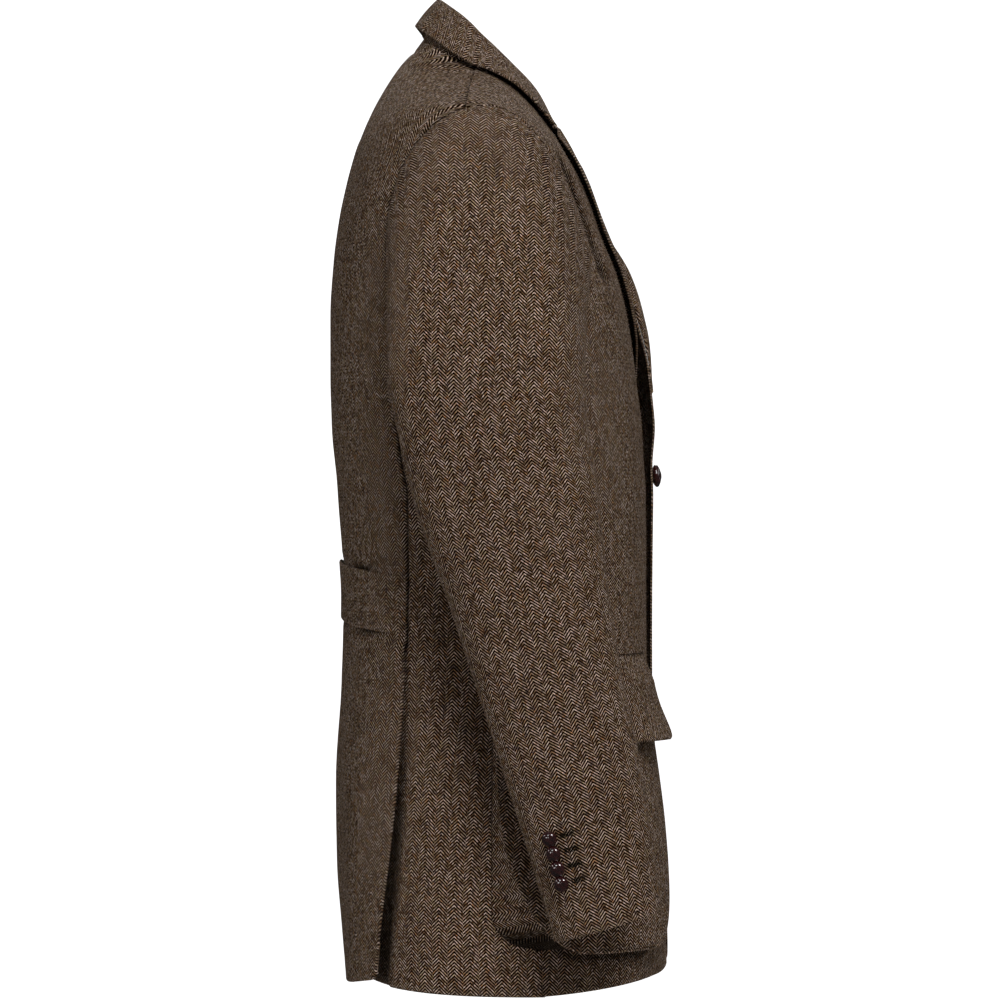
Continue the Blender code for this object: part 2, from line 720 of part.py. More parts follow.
def half_belt(name):
    """Half belt across the back waist, made from the back's points moved out."""

    def point(u, v):
        share = u * 2 - 1
        z = mix(BELT_BOTTOM, BELT_TOP, v) - BELT_DROP * abs(share) ** 1.5
        turn = share * turn_at_y(BELT_END_Y, z)
        return torso(turn, z, TRIM_WALL + BED)

    return sheet(name, point, 22, 2, wall=TRIM_WALL)


def button(name, carrier, spot, out, across, thick):
    """Domed leather button, its back just off the cloth that carries it."""
    bpy.context.view_layer.update()
    cloth = BVHTree.FromObject(carrier, bpy.context.evaluated_depsgraph_get())
    hit = cloth.ray_cast(spot + out * 0.02, -out)[0]
    shape = bmesh.new()
    bmesh.ops.create_uvsphere(shape, u_segments=12, v_segments=6, radius=0.5)
    turned = out.to_track_quat("Z", "Y").to_matrix().to_4x4()
    seat = Matrix.Translation(hit + out * (thick / 2 + SEAM))
    bmesh.ops.transform(shape, matrix=seat @ turned @ Matrix.Diagonal((across, across, thick, 1.0)),
                        verts=shape.verts)
    return place(name, shape, LEATHER, 0.3)


def cuff_button(name, carrier, index, mirrored):
    """One of the buttons in a row above the cuff, by the hind seam."""
    z = CUFF_BUTTON_FIRST_Z - index * CUFF_BUTTON_PITCH
    spot = ring(CUFF_BUTTON_TURN, z)
    around = ring(CUFF_BUTTON_TURN + 0.01, z) - spot
    up = ring(CUFF_BUTTON_TURN, z + 0.001) - spot
    out = around.cross(up).normalized()
    if out.x < 0:
        out = -out
    if mirrored:
        spot.x, out.x = -spot.x, -out.x
    return button(name, carrier, spot, out, CUFF_BUTTON_ACROSS, CUFF_BUTTON_THICK)


def front_button(name, carrier):
    """The fastened button, on the upper front at the centre line."""
    turn = turn_at_x(FRONT_BUTTON_X, FRONT_BUTTON_Z)
    spot = bare_torso(turn, FRONT_BUTTON_Z)
    out = (torso(turn, FRONT_BUTTON_Z, 1.0) - spot).normalized()
    return button(name, carrier, spot, out, FRONT_BUTTON_ACROSS, FRONT_BUTTON_THICK)


fronts = {}
for side_name, mirrored in (("left", False), ("right", True)):
    back("back_" + side_name, mirrored)
    side("side_" + side_name, mirrored)
    fronts[side_name] = front("front_" + side_name, mirrored)
    lapel("lapel_" + side_name, mirrored)
    sleeve = top_sleeve("top_sleeve_" + side_name, mirrored)
    under_sleeve("under_sleeve_" + side_name, mirrored)
    pocket_patch("pocket_patch_" + side_name, mirrored)
    pocket_gusset("pocket_gusset_" + side_name, mirrored)
    pocket_flap("pocket_flap_" + side_name, mirrored)
    for index in range(CUFF_BUTTON_COUNT):
        cuff_button("cuff_button_%s_%d" % (side_name, index + 1), sleeve, index, mirrored)
collar("collar")
half_belt("half_belt")
front_button("front_button", fronts["left"])
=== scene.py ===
import math
from collections import namedtuple

import bmesh
import bpy
import numpy as np
from mathutils import Matrix, Vector


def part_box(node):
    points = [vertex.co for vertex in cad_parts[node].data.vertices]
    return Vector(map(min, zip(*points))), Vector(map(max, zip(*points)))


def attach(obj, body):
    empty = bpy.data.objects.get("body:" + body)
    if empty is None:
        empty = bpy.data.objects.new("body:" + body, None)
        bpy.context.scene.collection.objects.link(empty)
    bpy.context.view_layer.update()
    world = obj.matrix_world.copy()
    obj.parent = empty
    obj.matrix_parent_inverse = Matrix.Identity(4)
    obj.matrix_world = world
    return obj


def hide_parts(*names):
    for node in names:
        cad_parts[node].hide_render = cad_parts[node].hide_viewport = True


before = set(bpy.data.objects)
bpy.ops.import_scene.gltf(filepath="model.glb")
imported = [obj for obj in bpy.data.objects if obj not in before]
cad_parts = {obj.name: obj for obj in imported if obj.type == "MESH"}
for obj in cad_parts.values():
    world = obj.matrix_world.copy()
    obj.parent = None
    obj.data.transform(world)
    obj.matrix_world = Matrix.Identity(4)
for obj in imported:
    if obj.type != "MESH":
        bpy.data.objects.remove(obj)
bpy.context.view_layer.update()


# Tweed. Carded wool woven as a herringbone, a mixed tan and ginger warp over a dark brown weft. The
# twill leans one way in a wide stripe and back in a narrow one. Every cloth piece carries its grain in
# a UV map in metres, the warp running up it, an attribute that darkens its seams and holds painted
# shade, and one for its worn edges.
WARP_PITCH = 0.00070
PICK_PITCH = 0.00068
WIDE_STRIPE = 10
NARROW_STRIPE = 8
TWILL_PICKS = 4
TWILL_BREAK = 2
FLECK_WARPS = 2
FLOAT_HALF = 0.152
FLOAT_SOFT = 0.05
# How much the darkened attribute takes off the cloth's colour, at seams and where shade is painted
SHADE_AND_SEAM_DARK = 0.88
RUB_LIGHT = 0.35
WEFT_DARK = (0.0020, 0.0010, 0.0005, 1.0)
WEFT_BROWN = (0.014, 0.0062, 0.0028, 1.0)
WORN_WOOL = (0.14, 0.10, 0.072, 1.0)
WARP_WOOLS = (
    (0.00, (0.120, 0.063, 0.030, 1.0)),
    (0.14, (0.320, 0.215, 0.131, 1.0)),
    (0.30, (0.430, 0.306, 0.228, 1.0)),
    (0.50, (0.720, 0.563, 0.476, 1.0)),
    (0.64, (0.460, 0.334, 0.192, 1.0)),
    (0.78, (0.170, 0.124, 0.114, 1.0)),
    (0.90, (0.400, 0.215, 0.099, 1.0)),
    (1.00, (0.600, 0.449, 0.375, 1.0)),
)


class Wire:
    """A socket of a material's nodes. Arithmetic on it adds Math nodes."""

    def __init__(self, tree, socket=None):
        self.tree = tree
        self.socket = socket

    def node(self, kind, settings=(), sockets=(), out=0):
        """A new node: its settings first, then the values or links of its sockets; gives one output."""
        made = self.tree.nodes.new(kind)
        for name, value in dict(settings).items():
            if name == "stops":
                stops = made.color_ramp.elements
                while len(stops) < len(value):
                    stops.new(1.0)
                for stop, (place, colour) in zip(stops, value):
                    stop.position = place
                    stop.color = colour
            else:
                setattr(made, name, value)
        for name, value in dict(sockets).items():
            if isinstance(value, Wire):
                self.tree.links.new(value.socket, made.inputs[name])
            else:
                made.inputs[name].default_value = value
        return Wire(self.tree, made.outputs[out])

    def other(self, out):
        """Another output of the same node."""
        return Wire(self.tree, self.socket.node.outputs[out])

    def math(self, operation, *values):
        return self.node("ShaderNodeMath", {"operation": operation}, dict(enumerate(values)))

    def __add__(self, value):
        return self.math("ADD", self, value)

    def __radd__(self, value):
        return self.math("ADD", value, self)

    def __sub__(self, value):
        return self.math("SUBTRACT", self, value)

    def __rsub__(self, value):
        return self.math("SUBTRACT", value, self)

    def __mul__(self, value):
        return self.math("MULTIPLY", self, value)

    def __rmul__(self, value):
        return self.math("MULTIPLY", value, self)

    def __truediv__(self, value):
        return self.math("DIVIDE", self, value)

    def __mod__(self, value):
        return self.math("FLOORED_MODULO", self, value)

    def __abs__(self):
        return self.math("ABSOLUTE", self)

    def floor(self):
        return self.math("FLOOR", self)

    def fract(self):
        return self.math("FRACT", self)

    def least(self, value):
        return self.math("MINIMUM", self, value)

    def clamped(self):
        return self.node("ShaderNodeClamp", {}, {"Value": self})

    def blend(self, low, high, kind="MIX"):
        """Colour between low and high, with this value as the share."""
        return self.node("ShaderNodeMix", {"data_type": "RGBA", "blend_type": kind},
                         {0: self, 6: low, 7: high}, out=2)

    def noise(self, where, scale, detail=2.0):
        return self.node("ShaderNodeTexNoise", {}, {"Vector": where, "Scale": scale, "Detail": detail})

    def vector(self, x, y):
        return self.node("ShaderNodeCombineXYZ", {}, {"X": x, "Y": y})


def shader_of(material):
    """Switch a material's nodes on, and give its shader and a first wire."""
    material.use_nodes = True
    return material.node_tree.nodes["Principled BSDF"], Wire(material.node_tree)


def tweed_cloth():
    """Herringbone tweed, worked out from the grain in the UV map."""
    material = bpy.data.materials.new("herringbone_tweed")
    shader, wire = shader_of(material)
    grain = wire.node("ShaderNodeUVMap", {"uv_map": "grain"})
    across = wire.node("ShaderNodeSeparateXYZ", {}, {0: grain})
    along = across.other("Y")
    # The darkened attribute holds dark seam lines and painted shade: in the front's creases, beside the
    # lapels' edges, below the pockets, along the belt's edges, in the vents and in the gussets' feet.
    shade_and_seam_dark = wire.node("ShaderNodeAttribute", {"attribute_name": "pressed"}, out="Fac")
    wear = wire.node("ShaderNodeAttribute", {"attribute_name": "worn"}, out="Fac")

    sway = wire.noise(grain, 60.0, 1.0) - 0.5
    fuzz = wire.noise(grain, 1900.0, 2.0)
    warp = across / WARP_PITCH + sway * 0.8
    pick = along / PICK_PITCH + sway * 1.6 + (fuzz - 0.5) * 0.35
    in_repeat = warp % (WIDE_STRIPE + NARROW_STRIPE)
    rise = in_repeat.least(2 * WIDE_STRIPE - in_repeat)
    broken = in_repeat.math("GREATER_THAN", in_repeat, WIDE_STRIPE)
    twill = (pick + rise + broken * TWILL_BREAK) / TWILL_PICKS
    face = ((FLOAT_HALF - abs(twill.fract() - 0.5)) / FLOAT_SOFT + 0.5).clamped()

    cell = wire.vector((warp / FLECK_WARPS).floor(), twill.floor())
    fleck = wire.node("ShaderNodeTexWhiteNoise", {"noise_dimensions": "2D"}, {"Vector": cell})
    wool = wire.node("ShaderNodeValToRGB", {"stops": WARP_WOOLS}, {"Fac": fleck})
    weft = fuzz.blend(WEFT_DARK, WEFT_BROWN)
    yarn_round_and_shade = 1 - abs(warp.fract() * 2 - 1)
    woven = face.blend(weft, wool)

    cloudy = wire.noise(grain, 24.0, 3.0)
    slubby = wire.noise(wire.vector(across * 380, along * 900), 1.0, 2.0)
    streak = wire.noise(wire.vector(across * 650, along * 50), 1.0, 2.0)
    flecked = wire.noise(grain, 300.0, 2.0)
    uneven = -1.12 + cloudy * 0.25 + slubby * 2.00 + streak * 0.90 + flecked * 1.10
    # Each warp yarn is painted darker towards its sides: painted shade in the gaps between yarns, besides
    # its bump.
    tone = uneven * (0.86 + yarn_round_and_shade * 0.22) * (1 - shade_and_seam_dark * SHADE_AND_SEAM_DARK)
    toned = wire.node("ShaderNodeVectorMath", {"operation": "SCALE"}, {0: woven, "Scale": tone})
    rubbed = (wear * RUB_LIGHT * fuzz).blend(toned, WORN_WOOL)
    shader.inputs["Roughness"].default_value = 0.92
    shader.inputs["Specular IOR Level"].default_value = 0.02
    shader.inputs["Sheen Weight"].default_value = 0.02
    shader.inputs["Sheen Roughness"].default_value = 0.55
    shader.inputs["Sheen Tint"].default_value = (0.60, 0.46, 0.33, 1.0)
    relief = face * 0.7 + yarn_round_and_shade * 0.2 + fuzz * 0.15
    bump = wire.node("ShaderNodeBump", {}, {"Strength": 0.35, "Distance": 0.0005, "Height": relief})
    material.node_tree.links.new(rubbed.socket, shader.inputs["Base Color"])
    material.node_tree.links.new(bump.socket, shader.inputs["Normal"])
    return material


TWEED = tweed_cloth()


# Back. Two halves of tweed joined by the centre back seam, sewn to the side bodies above and free of
# them below as side vents. The hem is turned up inside. The form of the whole body is set out here,
# section by section: half width at the side and its y, then the back's and the front's centre lines.
CLOTH_WALL = 0.0014
SEAM_GAP = -0.0002
SEAM_DEEP = 0.0012
SEAM_WIDE = 0.0019
EDGE_ROUND = 0.0016
EDGE_WORN = 0.003
HEM_WORN = 0.0028
HEM_ROUND = 0.0019
HEM_TURNED = 0.026
HEM_INSET = 0.006
HEM_Z = -0.7425
HEM_SHAPED = 0.16
VENT_Z = -0.470
VENT_RISE = 0.011
VENT_LIFT = 0.0036
VENT_FLARE = 0.0036
VENT_UNDERLAP = 0.040
HEM_UNDERLAP = 0.090
VENT_FADE = 0.090
VENT_CORNER = 0.009
BACK_HEM_DROP = 0.003
VENT_HEM_RISE = 0.011
SEAM_RUN_IN = -0.290
ARMHOLE_Y = -0.010
ARMHOLE_Z = -0.1435
ARMHOLE_DEEP = 0.080
ARMHOLE_TALL = 0.1055
ARMHOLE_LEAN = 0.20
BACK_NOTCH = math.radians(-122)
FRONT_NOTCH = math.radians(132)
SHOULDER_TURN = math.radians(-12)
SHOULDER_FAN = 0.026
NECK_SEAM_Z = 0.0215
NECK_SEAM_FALL = 0.10
NECK_SEAM_WIDE = 0.0012
NECK_SEAM_DEEP = 0.0011
NECK_SEAM_END = 0.052
YOKE_Z = -0.120
YOKE_BLEND = 0.030
BELT_TOP = -0.3990
BELT_BOTTOM = -0.4465
BELT_DROP = 0.0110
BELT_END_Y = 0.058
BELT_SHADOW = 0.0022
BELT_PULL = 0.0009
SEAM_ROWS = 116
ARM_ROWS = 40
SHOULDER_ROWS = 26
BACK_COLUMNS = 48


def table(columns, *rows):
    """A table whose rows know their columns by name."""
    row_kind = namedtuple("Row", columns)
    return [row_kind(*row) for row in rows]


TORSO = table(
    "z half side_y back_y back_rise back_round front_y front_rise front_round",
    (0.012, 0.066, 0.000, 0.0405, 0.024, 2.2, -0.0550, -0.045, 2.2),
    (0.004, 0.076, 0.000, 0.0500, 0.019, 2.2, -0.0610, -0.046, 2.2),
    (-0.003, 0.095, 0.000, 0.0620, 0.013, 2.2, -0.0670, -0.047, 2.2),
    (-0.011, 0.130, 0.001, 0.0735, 0.004, 2.2, -0.0708, -0.048, 2.3),
    (-0.020, 0.165, 0.002, 0.0830, -0.004, 2.2, -0.0757, -0.048, 2.4),
    (-0.030, 0.200, 0.002, 0.0905, -0.010, 2.2, -0.0805, -0.048, 2.5),
    (-0.038, 0.222, 0.002, 0.0970, -0.018, 2.2, -0.0852, -0.048, 2.5),
    (-0.050, 0.231, 0.001, 0.1010, -0.018, 2.3, -0.0900, -0.046, 2.6),
    (-0.075, 0.235, 0.000, 0.1070, -0.016, 2.4, -0.0976, -0.040, 2.7),
    (-0.110, 0.233, -0.002, 0.1130, -0.010, 2.5, -0.1060, -0.030, 2.8),
    (-0.150, 0.226, -0.004, 0.1175, -0.004, 2.5, -0.1175, -0.018, 2.9),
    (-0.200, 0.214, -0.006, 0.1203, 0.000, 2.5, -0.1262, -0.006, 2.9),
    (-0.250, 0.205, -0.008, 0.1203, 0.000, 2.5, -0.1322, 0.000, 2.8),
    (-0.300, 0.199, -0.009, 0.1180, 0.000, 2.5, -0.1372, 0.000, 2.7),
    (-0.350, 0.193, -0.010, 0.1140, 0.000, 2.5, -0.1410, 0.000, 2.6),
    (-0.420, 0.187, -0.011, 0.1095, 0.000, 2.5, -0.1410, 0.000, 2.6),
    (-0.500, 0.188, -0.013, 0.1110, 0.000, 2.5, -0.1415, 0.000, 2.6),
    (-0.580, 0.193, -0.015, 0.1150, 0.000, 2.5, -0.1455, 0.000, 2.6),
    (-0.650, 0.199, -0.017, 0.1140, 0.000, 2.5, -0.1518, 0.000, 2.6),
    (-0.700, 0.203, -0.018, 0.1105, 0.000, 2.5, -0.1560, 0.000, 2.6),
    (-0.760, 0.206, -0.018, 0.1060, 0.000, 2.5, -0.1585, 0.000, 2.6),
)
NECK_Z = TORSO[0].z
SIDE_BACK = table(
    "z y vent_y",
    (-0.190, 0.0675, 0.0675),
    (-0.260, 0.0655, 0.0655),
    (-0.310, 0.0605, 0.0605),
    (-0.350, 0.0540, 0.0540),
    (-0.470, 0.0544, 0.0544),
    (-0.520, 0.0544, 0.0565),
    (-0.760, 0.0544, 0.0750),
)
# Soft folds: from and to (distance from the centre back, height), half width, depth and sideways bow
BACK_FOLDS = table(
    "across_a z_a across_b z_b wide deep bow",
    (0.060, -0.050, 0.150, -0.150, 0.022, -0.0012, 0.010),
    (0.085, -0.150, 0.165, -0.235, 0.020, 0.0014, 0.008),
    (0.020, -0.330, 0.150, -0.352, 0.014, -0.0010, -0.006),
    (0.060, -0.372, 0.165, -0.380, 0.012, 0.0011, -0.005),
    (0.010, -0.296, 0.120, -0.306, 0.017, 0.0009, 0.005),
    (0.050, -0.470, 0.062, -0.740, 0.020, -0.0016, 0.008),
    (0.105, -0.480, 0.120, -0.745, 0.022, 0.0018, -0.006),
    (0.008, -0.500, 0.012, -0.745, 0.018, 0.0010, 0.003),
)


def through(rows, where):
    """A table's row at `where` in its first column, on smooth curves with no overshoot."""
    knots = np.array(sorted(rows))
    at, values = knots[:, 0], knots[:, 1:]
    grade = np.diff(values, axis=0) / np.diff(at)[:, None]
    product = grade[:-1] * grade[1:]
    total = np.where(product > 0, grade[:-1] + grade[1:], 1.0)
    slope = np.vstack((grade[:1], np.where(product > 0, 2 * product / total, 0.0), grade[-1:]))
    where = np.clip(where, at[0], at[-1])
    low = np.clip(np.searchsorted(at, where) - 1, 0, len(at) - 2)
    span = (at[low + 1] - at[low])[..., None]
    s = (where - at[low])[..., None] / span
    found = ((2 * s ** 3 - 3 * s ** 2 + 1) * values[low] + (s ** 3 - 2 * s ** 2 + s) * slope[low] * span
             + (3 * s ** 2 - 2 * s ** 3) * values[low + 1] + (s ** 3 - s ** 2) * slope[low + 1] * span)
    return rows[0]._make([where, *np.moveaxis(found, -1, 0)])


def mix(a, b, share):
    return a + (b - a) * share


def ease(share):
    share = np.clip(share, 0.0, 1.0)
    return share * share * (3 - 2 * share)


def unit(vectors):
    return vectors / np.maximum(np.linalg.norm(vectors, axis=-1, keepdims=True), 1e-12)


def half_of(section, behind):
    """Depth, squareness and rise of a section's back or front half."""
    deep = np.where(behind, section.back_y - section.side_y, section.side_y - section.front_y)
    power = np.where(behind, section.back_round, section.front_round)
    return deep, power, np.where(behind, section.back_rise, section.front_rise)


def torso(turn, z):
    """Points of the body at angles round from the centre back, at sections' side heights."""
    turn, z = np.broadcast_arrays(np.asarray(turn, float), np.asarray(z, float))
    here = through(TORSO, z)
    to_back, to_side = np.cos(turn), np.sin(turn)
    deep, power, rise = half_of(here, to_back >= 0)
    reach = (np.abs(to_back / deep) ** power + np.abs(to_side / here.half) ** power) ** (-1 / power)
    along = reach * to_back
    return np.stack((reach * to_side, here.side_y + along, z + rise * (along / deep) ** 2), axis=-1)


def torso_out(turn, z):
    """Outward directions of the body at the same places."""
    step = 0.0006
    across = torso(turn + step, z) - torso(turn - step, z)
    down = torso(turn, z - step) - torso(turn, z)
    return unit(np.cross(across, down))


def off_torso(turn, z, off):
    """Points that stand off the body."""
    return torso(turn, z) + torso_out(turn, z) * np.asarray(off)[..., None]


def locate(y, z):
    """Angle and section height of the body's points that are seen at y, z from the side."""
    y, z = np.broadcast_arrays(np.asarray(y, float), np.asarray(z, float))
    section = z
    for _ in range(40):
        here = through(TORSO, section)
        deep, power, rise = half_of(here, y >= here.side_y)
        share = np.minimum(np.abs(y - here.side_y) / deep, 0.9995)
        section = mix(section, z - rise * share ** 2, 0.6)
    x = here.half * (1 - share ** power) ** (1 / power)
    return np.arctan2(x, y - here.side_y), section


def turn_at_y(y, z):
    """Angle where a section crosses a y."""
    here = through(TORSO, z)
    deep, power, _ = half_of(here, y >= here.side_y)
    share = np.minimum(np.abs(y - here.side_y) / deep, 0.9995)
    return np.arctan2(here.half * (1 - share ** power) ** (1 / power), y - here.side_y)


def armhole(turn, inset=0.0):
    """Side-view point of the armhole, a turn from its top towards the front, shrunk by `inset`."""
    up = (ARMHOLE_TALL - inset) * np.cos(turn)
    lean = ARMHOLE_LEAN * up * np.maximum(np.sin(turn), 0.0)
    return ARMHOLE_Y - (ARMHOLE_DEEP - inset) * np.sin(turn) + lean, ARMHOLE_Z + up


def corner(distance, radius):
    """How far a rounded corner rises at a distance in from its edge."""
    inside = np.clip(radius - distance, 0.0, radius)
    return radius - np.sqrt(radius ** 2 - inside ** 2)


def hem_share(z):
    """How much of the hem's own shape a height follows: all at the hem, none well above it."""
    return ease((z - (HEM_Z + HEM_SHAPED)) / -HEM_SHAPED)


def at_both_ends(count, closer=0.86):
    """Shares from 0 to 1 for a row of points, closer together at both ends."""
    even = np.linspace(0.0, 1.0, count + 1)
    return even - closer * np.sin(2 * np.pi * even) / (2 * np.pi)


def at_low_end(count, closer=0.8):
    """Shares from 0 to 1, closer together at the low end."""
    even = np.linspace(0.0, 1.0, count + 1)
    return mix(even, 1 - np.cos(np.pi / 2 * even), closer)


def reach_along(points, axis):
    """Distance of each point of a grid along its row or column from the first one."""
    steps = np.linalg.norm(np.diff(points, axis=axis), axis=-1)
    blank = np.zeros_like(np.take(steps, [0], axis=axis))
    return np.concatenate((blank, np.cumsum(steps, axis=axis)), axis=axis)


def faced(points):
    """Outward directions of a grid whose columns run from back to front and whose rows run up."""
    return unit(np.cross(np.gradient(points, axis=0), np.gradient(points, axis=1)))


def folded(across, up, folds, shift=0.0):
    """How far soft folds push the cloth out or in, each fading to its ends."""
    push = np.zeros(np.broadcast(across, up).shape)
    for fold in folds:
        run = np.array((fold.across_b - fold.across_a, fold.z_b - fold.z_a))
        length = np.hypot(*run)
        away_x, away_z = across - fold.across_a - shift * 0.4, up - fold.z_a - shift
        share = np.clip((away_x * run[0] + away_z * run[1]) / length ** 2, 0.0, 1.0)
        bow = fold.bow * np.sin(np.pi * share)
        side_x = away_x - run[0] * share + bow * run[1] / length
        side_z = away_z - run[1] * share - bow * run[0] / length
        away = np.hypot(side_x, side_z) / fold.wide
        push += fold.deep * np.exp(-away ** 2) * np.sin(np.pi * np.clip(share, 0.06, 0.94)) ** 0.7
    return push


def seamed_and_edged(points, edges):
    """Push of a piece's borders, and the shares by which its seams are darkened and its free edges worn.

    Each border is None, or the share of it that is a free edge (1) and not a sewn seam (0).
    """
    across, up = reach_along(points, 1), reach_along(points, 0)
    distance = {"rear": across, "fore": across[:, -1:] - across, "low": up, "top": up[-1:] - up}
    push, pressed, worn = (np.zeros(across.shape) for _ in range(3))
    for border, free in edges.items():
        seam = np.exp(-(distance[border] / SEAM_WIDE) ** 2)
        push -= free * corner(distance[border], EDGE_ROUND) + (1 - free) * SEAM_DEEP * seam
        pressed = np.maximum(pressed, (1 - free) * seam)
        worn = np.maximum(worn, free * np.exp(-(distance[border] / EDGE_WORN) ** 2))
    return push, pressed, worn


def turned_up(points, grain, shades, inset):
    """A grid with its lowest row turned up inside as a hem, which stays `inset` back from the fore edge."""
    out = faced(points)
    up = unit(np.cross(np.gradient(points[0], axis=0), out[0]))
    up *= np.sign((up * (points[3] - points[0])).sum(axis=-1, keepdims=True))
    climb = reach_along(points, 0).mean(axis=1)
    inside = [row for row in range(1, len(climb)) if climb[row] < HEM_TURNED][::-1]
    rows = [points[row] - out[row] * 2 * HEM_ROUND for row in inside]
    drops = [climb[row] + math.pi * HEM_ROUND for row in inside]
    kept = [inset] * len(rows)
    for bend in np.linspace(1.0, 0.0, 7)[:-1]:
        swing = math.pi * bend
        rows.append(points[0] - HEM_ROUND * (out[0] * (1 - math.cos(swing)) + up * math.sin(swing)))
        drops.append(swing * HEM_ROUND)
        kept.append(inset * bend)
    for index, row in enumerate(rows):
        gone = reach_along(row[:, None, :], 0)[:, 0]
        wanted = gone * (1 - kept[index] / gone[-1])
        rows[index] = np.stack([np.interp(wanted, gone, row[:, axis]) for axis in range(3)], axis=-1)
    below = grain[:1] - np.stack((np.zeros(len(drops)), drops), axis=-1)[:, None, :]
    blank = np.zeros((len(drops), points.shape[1]))
    return (np.concatenate((rows, points)), np.concatenate((below, grain)),
            [np.concatenate((blank, shade)) for shade in shades])


def cloth(name, points, grain, edges, push=0.0, mirrored=False, wall=CLOTH_WALL, hemmed=False,
          strip=False, shade_and_seam_dark=0.0, rounded=0.0):
    """One piece of tweed through a grid of points, in place of the node that has its name."""
    edge_push, pressed, worn = seamed_and_edged(points, edges)
    if hemmed:
        worn = np.maximum(worn, np.exp(-(reach_along(points, 0) / HEM_WORN) ** 2))
    # The painted shade that a piece is given joins its dark seams in one attribute.
    shades = np.maximum(pressed, shade_and_seam_dark), worn
    points = points + faced(points) * (push + edge_push)[..., None]
    if hemmed:
        points, grain, shades = turned_up(points, grain, shades, HEM_INSET * np.max(edges.get("fore", 0.0)))
    rows, columns = points.shape[:2]
    spans = np.cross(points[1:, 1:] - points[:-1, :-1], points[1:, :-1] - points[:-1, 1:])
    area = np.linalg.norm(spans, axis=-1).sum() / 2
    if mirrored:
        points = points * (-1, 1, 1)
    else:
        grain = grain * (-1, 1)

    shape = bmesh.new()
    bmesh.ops.create_grid(shape, x_segments=columns - 1, y_segments=rows - 1, size=1.0)
    if not mirrored:
        bmesh.ops.reverse_faces(shape, faces=shape.faces)
    mesh = bpy.data.meshes.new(name)
    shape.to_mesh(mesh)
    shape.free()
    flat = np.empty(len(mesh.vertices) * 3)
    mesh.vertices.foreach_get("co", flat)
    column = np.rint((flat[0::3] + 1) / 2 * (columns - 1)).astype(int)
    row = np.rint((flat[1::3] + 1) / 2 * (rows - 1)).astype(int)
    mesh.vertices.foreach_set("co", points[row, column].ravel())
    corners = np.empty(len(mesh.loops), dtype=np.int32)
    mesh.loops.foreach_get("vertex_index", corners)
    mesh.uv_layers.new(name="grain").data.foreach_set("uv", grain[row, column][corners].ravel())
    for shade_name, shade in zip(("pressed", "worn"), shades):
        layer = mesh.attributes.new(shade_name, "FLOAT", "POINT")
        layer.data.foreach_set("value", shade[row, column].astype(np.float32))
    mesh.shade_smooth()
    mesh.materials.append(TWEED)

    piece = bpy.data.objects.new(name + "_cloth", mesh)
    bpy.context.scene.collection.objects.link(piece)
    solid = piece.modifiers.new("wall", "SOLIDIFY")
    solid.thickness = wall
    solid.offset = -1.0
    solid.use_quality_normals = True
    if rounded:
        bevel = piece.modifiers.new("rounded_edge", "BEVEL")
        bevel.width = rounded
        bevel.segments = 3
        bevel.limit_method = "ANGLE"
    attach(piece, "root")
    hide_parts(name)
    width, length = np.ptp(grain.reshape(-1, 2), axis=0)
    if strip:
        length = area / width
    return piece


GIRTH_TURNS = np.linspace(0.0, 1.2 * np.pi, 260)
GIRTH_HEIGHTS = np.linspace(TORSO[-1].z, NECK_Z, 120)
GIRTHS = reach_along(torso(GIRTH_TURNS[None, :], GIRTH_HEIGHTS[:, None]), 1)


def girth(turn, z):
    """Distance round the body from the centre back."""
    turn, z = np.broadcast_arrays(turn, z)
    level = np.clip((z - GIRTH_HEIGHTS[0]) / (GIRTH_HEIGHTS[1] - GIRTH_HEIGHTS[0]), 0, len(GIRTHS) - 1.001)
    spot = np.clip(turn / GIRTH_TURNS[1], 0, len(GIRTH_TURNS) - 1.001)
    row, column = level.astype(int), spot.astype(int)
    low = mix(GIRTHS[row, column], GIRTHS[row, column + 1], spot - column)
    high = mix(GIRTHS[row + 1, column], GIRTHS[row + 1, column + 1], spot - column)
    return mix(low, high, level - row)


def length_down(turn, heights):
    """Length of the cloth down the body's line at one turn, at the heights where points are seen."""
    line = torso(turn, GIRTH_HEIGHTS)
    return np.interp(heights, line[:, 2], reach_along(line[:, None, :], 0)[:, 0])


def notch_mark(turn):
    """Angle and height where a seam meets the armhole."""
    return locate(*armhole(turn))


BACK_MARK = notch_mark(BACK_NOTCH)
FRONT_MARK = notch_mark(FRONT_NOTCH)


def run_in(y, z, mark):
    """Angle of a seam's y, led into its mark on the armhole."""
    return mix(turn_at_y(y, z), mark[0], ease((z - SEAM_RUN_IN) / (mark[1] - SEAM_RUN_IN)))


def side_back_turn(z):
    """Angle of the side-back seam, on the side body."""
    return run_in(through(SIDE_BACK, z).y, z, BACK_MARK)


def vent_turn(z):
    """Angle of the back's edge: the side-back seam, and below it the edge of the vent."""
    return run_in(through(SIDE_BACK, z).vent_y, z, BACK_MARK)


